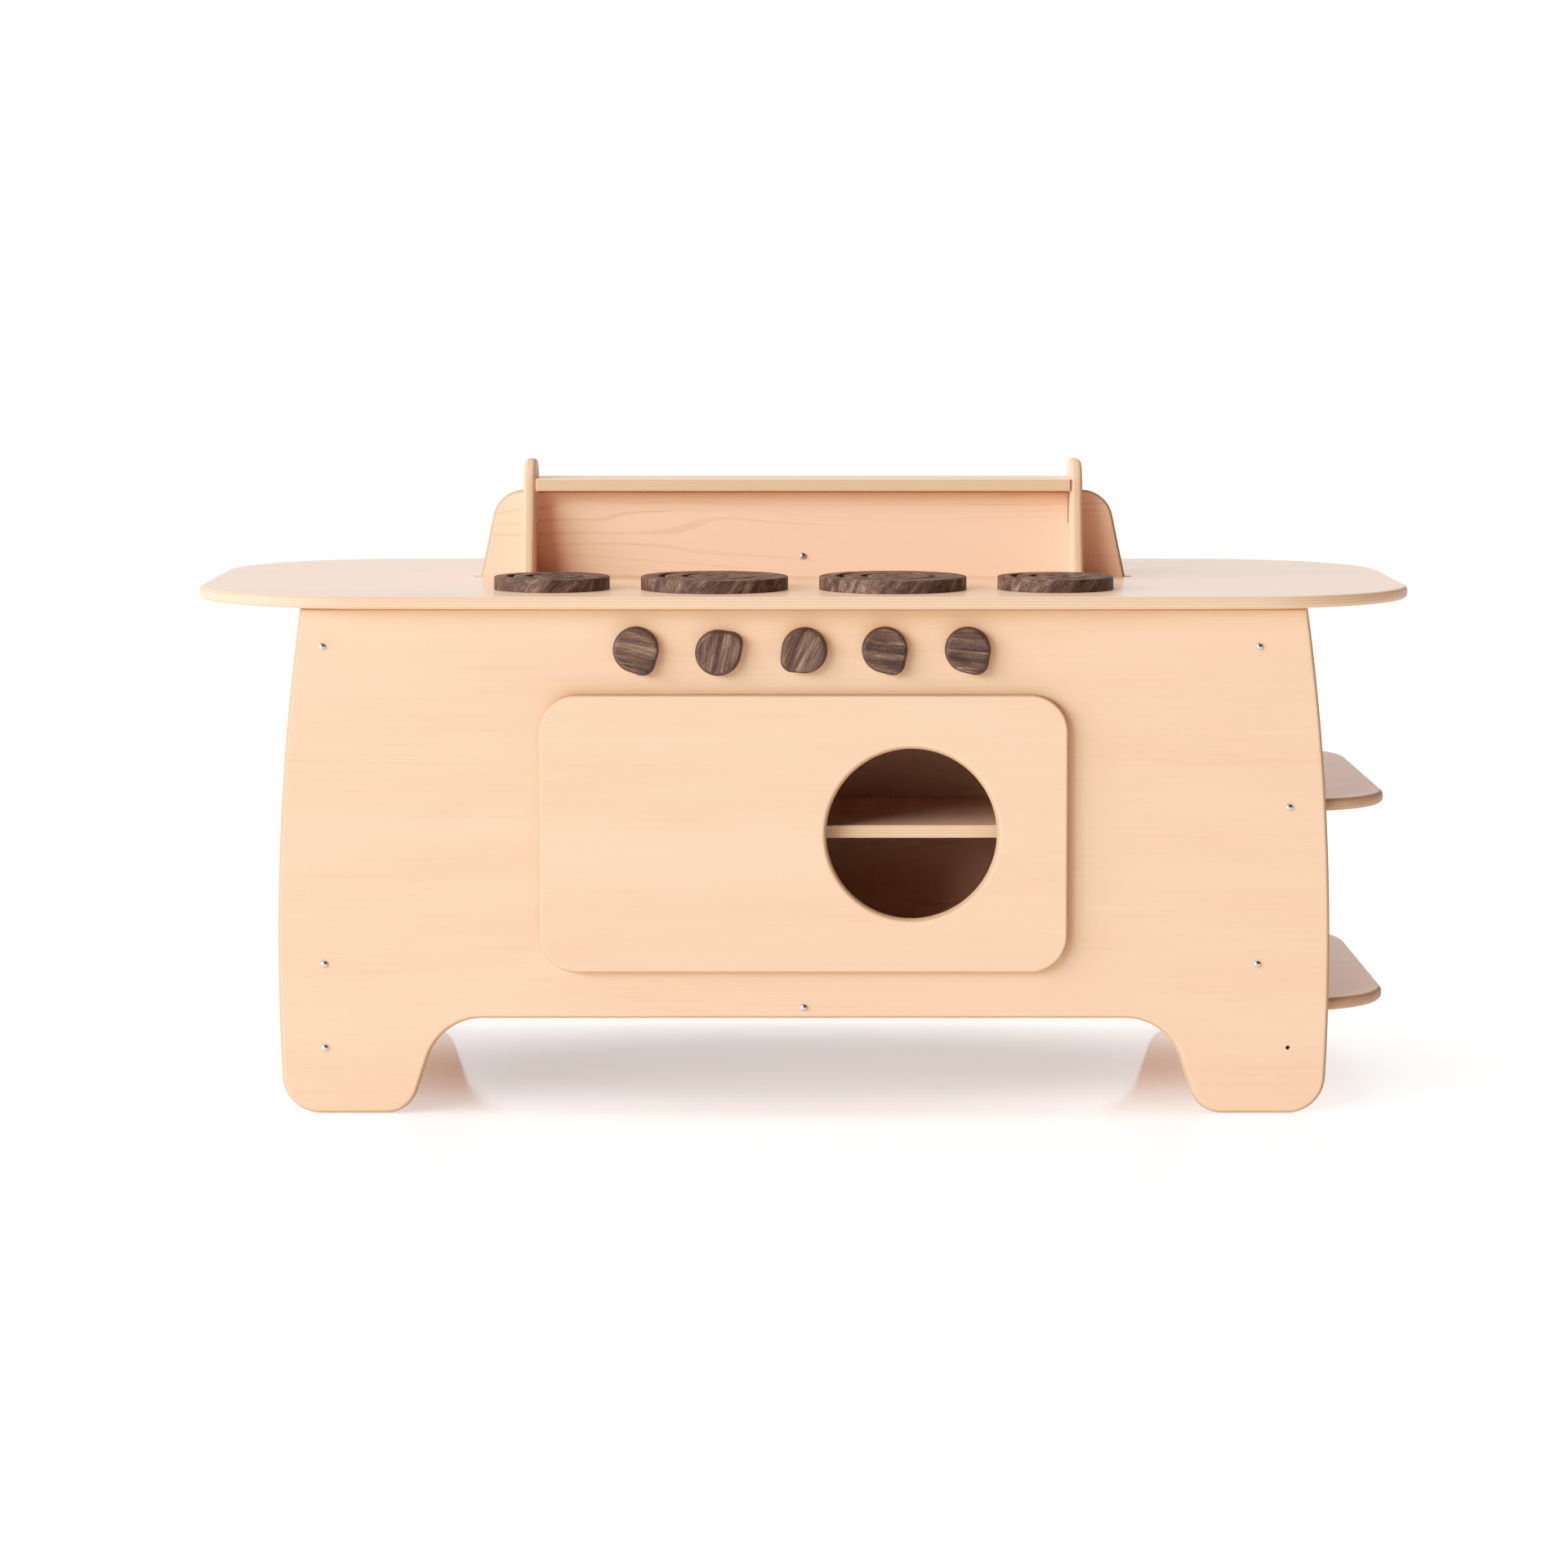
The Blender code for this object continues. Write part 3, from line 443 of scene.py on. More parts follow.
def mirrored(half):
    """A symmetric outline's corners from those of its right-hand half."""
    return half + [(-x, y, radius) for x, y, radius in reversed(half)]


print("a 45 mm corner takes", len(rectangle(0, 1, 0, 1, 0.045)) // 4, "points")

# %% [markdown]
# ## Boards
# A board is its outline pushed to its thickness, with the rims of its faces bevelled round, as a
# router does. Holes are cut afterwards with an exact Boolean, because a cutter can have a round lip
# of its own. The board is made lying flat and is then stood up.

# %% A plate, its cutters and its place
TURNS = {"Z": (0, 0, 0), "Y": (math.pi / 2, 0, 0), "X": (math.pi / 2, 0, math.pi / 2)}
EDGE_STEPS = 5
CLOSE = 1e-6                # points nearer than this lie in one plane


def plate(outline, thick, edge, faces=(1, -1)):
    """A flat plate with the rims of its upper (1) and lower (-1) face rounded."""
    bm = bmesh.new()
    base = bm.faces.new([bm.verts.new((x, y, -thick / 2)) for x, y in outline])
    risen = bmesh.ops.extrude_face_region(bm, geom=[base])["geom"]
    moved = [v for v in risen if isinstance(v, bmesh.types.BMVert)]
    bmesh.ops.translate(bm, verts=moved, vec=(0, 0, thick))
    bmesh.ops.recalc_face_normals(bm, faces=bm.faces)
    rim = [
        e for e in bm.edges
        if any(all(abs(v.co.z - side * thick / 2) < CLOSE for v in e.verts) for side in faces)
    ]
    if edge:
        bmesh.ops.bevel(bm, geom=rim, offset=edge, offset_type="OFFSET", segments=EDGE_STEPS,
                        profile=0.5, affect="EDGES", clamp_overlap=False, material=-1)
    return bm


def stood(bm, faces, place):
    """Turns a flat plate so that its faces look along an axis, and moves it to its place."""
    turn = Euler(TURNS[faces]).to_matrix().to_4x4()
    bmesh.ops.transform(bm, matrix=Matrix.Translation(place) @ turn, verts=bm.verts)
    return bm


def spun(profile, steps=64):
    """A solid spun round Z from (radius, height) points, the first and last on Z."""
    bm = bmesh.new()
    verts = [bm.verts.new((radius, 0, height)) for radius, height in profile]
    edges = [bm.edges.new(pair) for pair in zip(verts, verts[1:])]
    bmesh.ops.spin(bm, geom=verts + edges, cent=(0, 0, 0), axis=(0, 0, 1), angle=math.tau,
                   steps=steps, use_merge=True)
    bmesh.ops.remove_doubles(bm, verts=bm.verts, dist=1e-7)
    bmesh.ops.recalc_face_normals(bm, faces=bm.faces)
    return bm


def rod(start, end, radius, steps=32):
    """A round bar between two points."""
    bm = bmesh.new()
    run = Vector(end) - Vector(start)
    place = Matrix.Translation((Vector(start) + Vector(end)) / 2)
    turn = run.to_track_quat("Z", "Y").to_matrix().to_4x4()
    bmesh.ops.create_cone(bm, cap_ends=True, segments=steps, radius1=radius, radius2=radius,
                          depth=run.length, matrix=place @ turn)
    return bm


def block(low, high):
    """A box between two corners."""
    bm = bmesh.new()
    size = Vector(high) - Vector(low)
    place = Matrix.Translation((Vector(low) + Vector(high)) / 2)
    bmesh.ops.create_cube(bm, size=1, matrix=place @ Matrix.Diagonal((*size, 1)))
    return bm


def loose(bm):
    """A throwaway object from a bmesh, for the Boolean to work on."""
    mesh = bpy.data.meshes.new("offcut")
    bm.to_mesh(mesh)
    bm.free()
    made = bpy.data.objects.new("offcut", mesh)
    bpy.context.collection.objects.link(made)
    return made


def cut(bm, *tools):
    """Takes tools out of a bmesh. They stand apart from each other, so one cutter holds all."""
    whole = bmesh.new()
    for tool in tools:
        held = loose(tool)
        whole.from_mesh(held.data)
        bpy.data.objects.remove(held)
    blank, cutter = loose(bm), loose(whole)
    boolean = blank.modifiers.new("cut", "BOOLEAN")
    boolean.operation = "DIFFERENCE"
    boolean.solver = "EXACT"
    boolean.object = cutter
    result = bmesh.new()
    result.from_object(blank, bpy.context.evaluated_depsgraph_get())
    bpy.data.objects.remove(blank)
    bpy.data.objects.remove(cutter)
    return result


print("plates are rounded in", EDGE_STEPS, "steps")

# %% [markdown]
# ## From a mesh to a piece of the kitchen
# A finished mesh rides on a CAD body, stands for a CAD node and takes a finish. A large flat face
# beside a narrow rounded one would look swollen with plain smooth shading. A Weighted Normal
# modifier lets the large face win, so it stays flat and only the round-over bends the light.

# %% Make a piece
SHARP = math.radians(32)
BODY_OF = {n: b for b, group in frame["record"]["behaviour"]["bodies"].items() for n in group}


def add_piece(name, bm, finish, body, node=None):
    """Makes a bmesh a piece of the kitchen that stands for a CAD node, if one is named."""
    mesh = bpy.data.meshes.new(name)
    bm.to_mesh(mesh)
    bm.free()
    mesh.materials.append(finish)
    mesh.shade_smooth()
    mesh.set_sharp_from_angle(angle=SHARP)
    piece = bpy.data.objects.new(name, mesh)
    bpy.context.collection.objects.link(piece)
    even = piece.modifiers.new("flat faces stay flat", "WEIGHTED_NORMAL")
    even.keep_sharp = True
    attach(piece, body)
    if node:
        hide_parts(node)
    print(f"{name}: {len(mesh.polygons)} faces on {body}")
    return piece


def ply_board(node, faces, grain, outline, edge, tools=(), figure=0.3, shift=0.0, lacquer=0.12,
              pale_painted_light=0.0, cut_edge=CUT_EDGE_PAINTED_SHADE):
    """A plywood board of an outline, standing where its CAD node does.

    The figure is how strong its growth lines are, the shift picks another part of the pattern, and
    lacquer and the share of painted light, as a paler face, run from 0 to 1.
    """
    low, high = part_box(node)
    axis = "XYZ".index(faces)
    middle = (low[axis] + high[axis]) / 2
    place = Vector((0, 0, 0))
    place[axis] = middle
    bm = stood(plate(outline, high[axis] - low[axis], edge), faces, place)
    if tools:
        bm = cut(bm, *tools)
    finish = plywood(f"plywood_{node}", grain, faces, middle, figure, shift, lacquer, pale_painted_light,
                     cut_edge)
    return add_piece(f"{node}_ply", bm, finish, BODY_OF[node], node)


# %% [markdown]
# ## The worktop
# The worktop is a long board whose four corners are swept in wide curves and whose long edges bow
# out by a few millimetres. The hutch stands in a slot through its middle. One quarter of the
# outline is drawn and then mirrored twice, so both ends match.

# %% Make the worktop
TOP_CORNER_R = 0.212
TOP_SIDE_R = 13.9
TOP_EDGE_R = 0.0055
HUTCH_HALF = 0.4043         # half-length of the hutch's back panel where it leaves the worktop
SLOT_SPARE = 0.0085
JOINT_GAP = 0.0003
top_low, top_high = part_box("worktop")


def worktop_outline():
    bow_centre = top_high.y - TOP_SIDE_R
    corner_x = top_high.x - TOP_CORNER_R
    corner_y = bow_centre + math.sqrt((TOP_SIDE_R - TOP_CORNER_R) ** 2 - corner_x**2)
    turn = math.atan2(corner_y - bow_centre, corner_x)
    side_steps = 14
    side = [turn + (math.pi / 2 - turn) * i / side_steps for i in range(1, side_steps + 1)]
    quarter = arc((corner_x, corner_y), TOP_CORNER_R, 0, turn)
    quarter += [(TOP_SIDE_R * math.cos(a), bow_centre + TOP_SIDE_R * math.sin(a)) for a in side]
    back = quarter + [(-x, y) for x, y in reversed(quarter[:-1])]
    return back + [(x, -y) for x, y in reversed(back)]


slot_half = HUTCH_HALF + SLOT_SPARE
hutch_slot = block((-slot_half, -PLY / 2 - JOINT_GAP, top_low.z - PLY),
                   (slot_half, PLY / 2 + JOINT_GAP, top_high.z + PLY))
ply_board("worktop", "Z", "X", worktop_outline(), TOP_EDGE_R, [hutch_slot],
          figure=0.15, shift=2.3, lacquer=1.0, pale_painted_light=0.5, cut_edge=CUT_PALE)

# %% [markdown]
# ## The front and back panels
# Both panels have one outline: ends that bow outwards and two feet either side of a leg opening. A
# bowed end is part of a large circle, worked out from its widest height, so a few steps follow it
# closely. The front panel is bored for the knobs, and one bolt hole in its right foot stays empty.

# %% Make the front and back panels
SIDE_R = 2.946              # radius of the bowed ends
BELLY_HEIGHT = 0.195        # height at which the ends are widest
LEG_OPENING_HEIGHT = 0.114
FOOT_LENGTH = 0.1503
FOOT_OUTER_R = 0.045
FOOT_INNER_R = 0.039
ARCH_R = 0.068
LEG_LEAN = math.radians(18)
PANEL_EDGE_R = 0.0055
DOOR_OVERLAP = 0.0225
OPENING_CORNER_R = 0.025
BOLT_HOLE_R = 0.0026
SPINDLE_HOLE_R = 0.0034
front_low, front_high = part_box("front_panel")
door_low, door_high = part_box("oven_door")


def end_x(height):
    """Half-length of the panels at a height, on their bowed ends."""
    return front_high.x - SIDE_R + math.sqrt(SIDE_R**2 - (height - BELLY_HEIGHT) ** 2)


def body_panel_outline():
    steps = 24
    high, low = front_high.z, 1.4 * FOOT_OUTER_R
    heights = [high + (low - high) * i / steps for i in range(steps + 1)]
    foot_in = end_x(0) - FOOT_LENGTH
    arch_x = foot_in - LEG_OPENING_HEIGHT * math.tan(LEG_LEAN)
    half = [(end_x(z), z, 0) for z in heights]
    half += [(end_x(0), 0, FOOT_OUTER_R), (foot_in, 0, FOOT_INNER_R),
             (arch_x, LEG_OPENING_HEIGHT, ARCH_R)]
    return rounded(mirrored(half))


def panel_hole(place, radius):
    """A cutter along Y through whichever panel stands at a place."""
    return rod((place.x, place.y - 3 * PLY, place.z), (place.x, place.y + 3 * PLY, place.z), radius)


def middle_of(node):
    low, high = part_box(node)
    return (low + high) / 2


def panel_tools(side):
    """The cutters for the front or the back panel: its doorway, its bolts and its spindles."""
    panel = middle_of(f"{side}_panel")
    doorway = rectangle(door_low.x + DOOR_OVERLAP, door_high.x - DOOR_OVERLAP,
                        door_low.z + DOOR_OVERLAP, door_high.z - DOOR_OVERLAP, OPENING_CORNER_R)
    tools = [stood(plate(doorway, 3 * PLY, 0), "Y", (0, panel.y, 0))]
    for node in sorted(BODY_OF):
        if node.startswith("back_bolt_"):
            bolt = middle_of(node)
            tools.append(panel_hole(Vector((bolt.x, panel.y, bolt.z)), BOLT_HOLE_R))
        if node.startswith("knob_spindle_") and side == "front":
            tools.append(panel_hole(middle_of(node), SPINDLE_HOLE_R))
    return tools


ply_board("front_panel", "Y", "X", body_panel_outline(), PANEL_EDGE_R, panel_tools("front"),
          figure=0.06)
ply_board("back_panel", "Y", "X", body_panel_outline(), PANEL_EDGE_R, panel_tools("back"),
          figure=0.06, shift=5.1, pale_painted_light=0.6)

# %% [markdown]
# ## The oven door
# The door is a board with four equal round corners and a round window near its free side. The
# window has a rounded lip on both faces. A Boolean with a straight cylinder would leave it sharp, so
# the cutter is a spool: a rod that flares at both ends by the radius of the lip. Two mortises in
# the back take the hinges and are open at the edge, so that the knuckle clears the wood.

# %% Make the oven door
DOOR_CORNER_R = 0.045
DOOR_EDGE_R = 0.004
WINDOW_LIP_R = 0.0058
WINDOW_R = 0.1015
WINDOW_X = 0.128
WINDOW_STEPS = 128
HINGE_AIR = 0.0005
MORTISE_REACH = 0.003       # past the edge of the doorway
MORTISE_FLOOR = 0.0025      # in front of the hinge's axis
door_middle = middle_of("oven_door")


def window_spool():
    flat = PLY / 2 - WINDOW_LIP_R
    turns = [math.pi / 2 * i / EDGE_STEPS for i in range(EDGE_STEPS + 1)]
    flare = [(WINDOW_R + WINDOW_LIP_R * (1 - math.cos(a)), flat + WINDOW_LIP_R * math.sin(a))
             for a in turns]
    half = [(0, PLY), (WINDOW_R + WINDOW_LIP_R, PLY), *reversed(flare)]
    spool = spun(half + [(r, -h) for r, h in reversed(half)], WINDOW_STEPS)
    return stood(spool, "Y", (WINDOW_X, door_middle.y, door_middle.z))


def hinge_mortise(word):
    leaf_low, leaf_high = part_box(f"{word}_hinge_leaf")
    right = door_low.x + DOOR_OVERLAP + MORTISE_REACH
    return block((door_low.x - PLY, door_middle.y - MORTISE_FLOOR, leaf_low.z - HINGE_AIR),
                 (right, door_high.y + PLY, leaf_high.z + HINGE_AIR))


door_outline = rectangle(door_low.x, door_high.x, door_low.z, door_high.z, DOOR_CORNER_R)
ply_board("oven_door", "Y", "X", door_outline, DOOR_EDGE_R,
          [window_spool(), hinge_mortise("lower"), hinge_mortise("upper")],
          figure=0.04, shift=8.4)

# %% [markdown]
# ## Boards inside the body
# Three upright panels, a bottom board, a side shelf and two inner shelves carry the body. Those that
# reach the open end have two wide round corners there. The rest are plain rectangles with an edge
# broken by hand, and two of them are grooved for the inner shelves.

# %% Make the inside boards
SHELF_CORNER_R = 0.115
OPEN_EDGE_R = 0.0060        # of the boards that show at the open end
BROKEN_EDGE = 0.0012
GROOVE_DEPTH = 0.003


def flat_outline(node, faces, radius=0.0):
    """The rectangle that a CAD node fills in its own plane."""
    low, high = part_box(node)
    first, second = {"X": (1, 2), "Y": (0, 2), "Z": (0, 1)}[faces]
    return rectangle(low[first], high[first], low[second], high[second], radius)


def open_end_outline(node):
    low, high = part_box(node)
    return rounded([(low.x, low.y, 0), (high.x, low.y, SHELF_CORNER_R),
                    (high.x, high.y, SHELF_CORNER_R), (low.x, high.y, 0)])


def groove(node, side):
    """The groove along a side panel's inner face, to one side of it, for the inner shelves."""
    low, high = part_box(node)
    shelf_low, shelf_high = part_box("inner_shelf_front")
    face = high.x if side > 0 else low.x
    ends = sorted((face - side * GROOVE_DEPTH, face + side * PLY))
    return block((ends[0], low.y - PLY, shelf_low.z - JOINT_GAP),
                 (ends[1], high.y + PLY, shelf_high.z + JOINT_GAP))


for node, side, shift in (("left_side_panel", 1, 1.1), ("right_side_panel", -1, 2.7)):
    ply_board(node, "X", "Z", flat_outline(node, "X"), BROKEN_EDGE, [groove(node, side)],
              figure=0.4, shift=shift, lacquer=0.0, pale_painted_light=0.5)
ply_board("right_foot_panel", "X", "Y", flat_outline("right_foot_panel", "X"), BROKEN_EDGE,
          figure=0.4, shift=3.9, lacquer=0.0)
for node, shift in (("bottom_board", 4.3), ("side_shelf", 6.6)):
    ply_board(node, "Z", "X", open_end_outline(node), OPEN_EDGE_R,
              figure=0.2, shift=shift, lacquer=0.8, pale_painted_light=0.8)
for node, shift in (("inner_shelf_front", 7.2), ("inner_shelf_back", 9.5)):
    ply_board(node, "Z", "X", flat_outline(node, "Z"), BROKEN_EDGE,
              shift=shift, pale_painted_light=0.5, cut_edge=CUT_PALE)

# %% [markdown]
# ## The hutch
# The panel down the middle of the body also rises through the worktop, where it becomes the hutch's
# sloping back. Two uprights cross it: each board is slotted half way, like the dividers of a crate.
# The slots in the back are a little wider than the uprights, so a thin dark line shows beside each.

# %% Make the centre panel, the uprights and the shelf
HUTCH_LEAN = math.atan(0.206)
HUTCH_CORNER_R = 0.040
UPRIGHT_TOP_HALF = 0.048
UPRIGHT_WAIST = 0.100       # above the worktop, where the upright starts to widen
UPRIGHT_CORNER_R = 0.034
UPRIGHT_EDGE_R = 0.0055
LAP_HEIGHT = 0.068          # above the worktop, where the two halves of a lap meet
LAP_PLAY = 0.0013           # on each side of an upright
centre_low, centre_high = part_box("centre_panel")
hutch_shelf_middle = middle_of("hutch_shelf")
lap_z = top_high.z + LAP_HEIGHT


def centre_panel_outline():
    shoulder, lean = front_high.z, math.tan(HUTCH_LEAN)
    wide = HUTCH_HALF + (top_high.z - shoulder) * lean
    narrow = HUTCH_HALF - (centre_high.z - top_high.z) * lean
    return rounded([
        (centre_low.x, centre_low.z, 0),
        (centre_high.x, centre_low.z, 0),
        (centre_high.x, shoulder, 0),
        (wide, shoulder, 0),
        (narrow, centre_high.z, HUTCH_CORNER_R),
        (-narrow, centre_high.z, HUTCH_CORNER_R),
        (-wide, shoulder, 0),
        (centre_low.x, shoulder, 0),
    ])


def upright_outline():
    low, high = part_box("left_hutch_upright")
    half = [(high.y, low.z, 0), (UPRIGHT_TOP_HALF, top_high.z + UPRIGHT_WAIST, 0),
            (UPRIGHT_TOP_HALF, high.z, UPRIGHT_CORNER_R)]
    return rounded(mirrored(half))


def upper_lap(node):
    """The slot in the centre panel, open at its top, that an upright drops into with some play."""
    low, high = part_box(node)
    return block((low.x - LAP_PLAY, -PLY, lap_z), (high.x + LAP_PLAY, PLY, centre_high.z + PLY))


def lower_lap(node):
    """The slot in an upright, open at its foot, that drops over the centre panel."""
    low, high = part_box(node)
    half = PLY / 2 + JOINT_GAP
    return block((low.x - PLY, -half, low.z - PLY), (high.x + PLY, half, lap_z))


uprights = ("left_hutch_upright", "right_hutch_upright")
hutch_bolt = middle_of("hutch_bolt_centre")
centre_bore = rod((hutch_bolt.x, -PLY, hutch_bolt.z), (hutch_bolt.x, PLY / 4, hutch_bolt.z),
                  BOLT_HOLE_R)
ply_board("centre_panel", "Y", "X", centre_panel_outline(), PANEL_EDGE_R,
          [centre_bore] + [upper_lap(node) for node in uprights],
          shift=2.9, lacquer=0.0, pale_painted_light=0.85)
for node, shift in zip(uprights, (3.3, 4.9)):
    low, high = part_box(node)
    across = rod((low.x - PLY, 0, hutch_shelf_middle.z), (high.x + PLY, 0, hutch_shelf_middle.z),
                 BOLT_HOLE_R)
    ply_board(node, "X", "Z", upright_outline(), UPRIGHT_EDGE_R, [lower_lap(node), across],
              shift=shift, pale_painted_light=0.4, cut_edge=CUT_PALE)
ply_board("hutch_shelf", "Z", "X", flat_outline("hutch_shelf", "Z", BROKEN_EDGE), BROKEN_EDGE,
          shift=6.1, lacquer=0.5, pale_painted_light=0.3, cut_edge=CUT_PALE)

# %% [markdown]
# ## The burners
# Each burner is a walnut disc with a spiral groove that stands for the heating ring. A groove could
# be painted, but it catches a shadow when seen at a low angle, so it is cut. The cutter is the
# outline of a thick spiral line with round ends. The groove's lip is then eased with a bevel.

# %% Make the burners
BURNER_EDGE_R = 0.0020
SPIRAL_START = 0.76         # radius of the groove's outer end, as a share of the disc's
SPIRAL_PITCH = 0.327        # step between turns, as a share of the disc's radius
SPIRAL_TURNS = 2.0
SPIRAL_ANGLE = math.radians(136)
GROOVE_HALF = 0.0043
SPIRAL_DEPTH = 0.0045
LIP_R = 0.0009
LIP_STEPS = 3
SPIRAL_POINTS = 110


def spiral_outline(disc_r):
    """Both sides of a thick spiral line from the rim towards the middle, with round ends."""
    line = []
    for i in range(SPIRAL_POINTS + 1):
        turns = SPIRAL_TURNS * i / SPIRAL_POINTS
        radius = disc_r * (SPIRAL_START - SPIRAL_PITCH * turns)
        angle = SPIRAL_ANGLE + math.tau * turns
        line.append(Vector((radius * math.cos(angle), radius * math.sin(angle))))
    left, right, heading = [], [], []
    for i, point in enumerate(line):
        ahead = (line[min(i + 1, SPIRAL_POINTS)] - line[max(i - 1, 0)]).normalized()
        side = Vector((-ahead.y, ahead.x)) * GROOVE_HALF
        left.append(tuple(point + side))
        right.append(tuple(point - side))
        heading.append(math.atan2(ahead.y, ahead.x))
    quarter = math.pi / 2
    inner_end = arc(line[-1], GROOVE_HALF, heading[-1] - quarter, heading[-1] + quarter)[1:-1]
    outer_end = arc(line[0], GROOVE_HALF, heading[0] + quarter, heading[0] + 3 * quarter)[1:-1]
    return right + inner_end + list(reversed(left)) + outer_end


def burner(node, turn, shift):
    low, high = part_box(node)
    disc_r, middle = (high.x - low.x) / 2, (low + high) / 2
    thick = high.z - low.z
    disc = plate(arc((0, 0), disc_r, 0, math.tau)[:-1], thick, BURNER_EDGE_R, faces=(1,))
    floor = thick / 2 - SPIRAL_DEPTH
    line = plate(spiral_outline(disc_r), thick, 0)
    bmesh.ops.translate(line, verts=line.verts, vec=(0, 0, floor + thick / 2))
    disc = cut(disc, line)
    bmesh.ops.remove_doubles(disc, verts=disc.verts, dist=1e-5)
    lip = [
        e for e in disc.edges
        if all(abs(v.co.z - thick / 2) < 1e-5 for v in e.verts) and len(e.link_faces) == 2
        and abs(e.calc_face_angle(0) - math.pi / 2) < 0.2
    ]
    bmesh.ops.bevel(disc, geom=lip, offset=LIP_R, offset_type="OFFSET", segments=LIP_STEPS,
                    profile=0.5, affect="EDGES", clamp_overlap=False, material=-1)
    bmesh.ops.translate(disc, verts=disc.verts, vec=middle)
    finish = walnut(f"walnut_{node}", turn, shift)
    add_piece(f"{node}_disc", disc, finish, "body", node)


BURNERS = ("burner_far_left", "burner_left", "burner_right", "burner_far_right")
for i, node in enumerate(BURNERS):
    burner(node, (0, math.radians(-48), math.radians(10 * i)), (0.31 * i, 0.17 * i, 0.23 * i))

# %% [markdown]
# ## The knobs
# A knob is a flat pebble: a large and a small circle joined by their tangents, with a well-rounded
# face. Every knob is turned another way and is cut from another piece of the plank, so the streaks
# of each run their own way. The nose shows which way the knob is turned.

# %% Make the knobs
KNOB_BODY_R = 0.0272
KNOB_NOSE_R = 0.0145
KNOB_NOSE_REACH = 0.0182
KNOB_OFFSET = 0.0025        # from the large circle's centre to the spindle
KNOB_EDGE_R = 0.0055
KNOB_ANGLES = [math.radians(a) for a in (-63, 35, -141, -58, -57)]
KNOB_GRAINS = [math.radians(a) for a in (-12, 78, 65, -8, -5)]


def knob_outline():
    """Seen from the front with its nose along +X, measured from the spindle."""
    lean = math.acos((KNOB_BODY_R - KNOB_NOSE_R) / KNOB_NOSE_REACH)
    nose = arc((KNOB_NOSE_REACH - KNOB_OFFSET, 0), KNOB_NOSE_R, -lean, lean)
    return nose + arc((-KNOB_OFFSET, 0), KNOB_BODY_R, lean, math.tau - lean)


for i, (angle, grain) in enumerate(zip(KNOB_ANGLES, KNOB_GRAINS), start=1):
    node = f"knob_{i}"
    low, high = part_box(node)
    spindle = middle_of(f"knob_spindle_{i}")
    bm = plate(knob_outline(), high.y - low.y, KNOB_EDGE_R, faces=(1,))
    bmesh.ops.rotate(bm, cent=(0, 0, 0), matrix=Matrix.Rotation(angle, 3, "Z"), verts=bm.verts)
    stood(bm, "Y", (spindle.x, (low.y + high.y) / 2, spindle.z))
    finish = walnut(f"walnut_{node}", (0, -grain, 0), (0.4 * i, 0.05 * i, 0.3 * i), low.y)
    add_piece(f"{node}_pebble", bm, finish, BODY_OF[node], node)

# %% [markdown]
# ## The bolts
# Bolt heads are small polished domes. A dome is a profile spun round its own axis, which closes at
# the pole without a seam. The rim turns in under the dome, so the head casts a thin shadow.

# %% Make the bolts
BOLT_HEAD = 0.0028          # height of the dome
BOLT_RIM = 0.0006
BOLT_STEPS = 40             # round the head
DOME_STEPS = 10             # from the pole to the rim
BOLT_SHANK_R = 0.0022
BOLT_TURNS = {"front": (math.pi / 2, 0, 0), "back": (-math.pi / 2, 0, 0)}


def bolt_profile(head_r, length):
    """From the top of the dome down to the end of the shank, with 0 under the head."""
    dome = [(head_r * math.cos(a), BOLT_RIM + (BOLT_HEAD - BOLT_RIM) * math.sin(a))
            for a in (math.pi / 2 * i / DOME_STEPS for i in range(DOME_STEPS, -1, -1))]
    dome[0] = (0, BOLT_HEAD)
    return dome + [(head_r, BOLT_RIM / 3), (head_r - BOLT_RIM / 3, 0), (BOLT_SHANK_R, 0),
                   (BOLT_SHANK_R, -length), (0, -length)]


def bolt(node):
    low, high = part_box(node)
    middle, size = (low + high) / 2, high - low
    head_r = min(size) / 2
    if node == "hutch_bolt_left":
        turn, root = (0, -math.pi / 2, 0), Vector((low.x + BOLT_HEAD, middle.y, middle.z))
    elif node == "hutch_bolt_right":
        turn, root = (0, math.pi / 2, 0), Vector((high.x - BOLT_HEAD, middle.y, middle.z))
    elif node.startswith("back"):
        turn, root = BOLT_TURNS["back"], Vector((middle.x, high.y - BOLT_HEAD, middle.z))
    else:
        turn, root = BOLT_TURNS["front"], Vector((middle.x, low.y + BOLT_HEAD, middle.z))
    bm = spun(bolt_profile(head_r, max(size) - BOLT_HEAD), BOLT_STEPS)
    place = Matrix.Translation(root) @ Euler(turn).to_matrix().to_4x4()
    bmesh.ops.transform(bm, matrix=place, verts=bm.verts)
    add_piece(f"{node}_dome", bm, BOLT_STEEL, "body", node)


for node in sorted(n for n in BODY_OF if "_bolt_" in n):
    bolt(node)

# %% [markdown]
# ## Fittings that keep their CAD mesh
# Hinges, spindles, the strike plate, the magnet's case and the battens already have their final
# shape. They only take a finish.

# %% Finish the fittings
FITTINGS = {"batten": BEECH, "catch": PLASTIC, "spindle": BOLT_STEEL}
kept = 0
for node, obj in frame["nodes"].items():
    if obj.hide_render:
        continue
    finish = next((f for word, f in FITTINGS.items() if word in node), HINGE_STEEL)
    for place in obj.material_slots:
        place.material = finish
    kept += 1
    print(node, "->", finish.name)
print(kept, "fittings keep their CAD mesh")

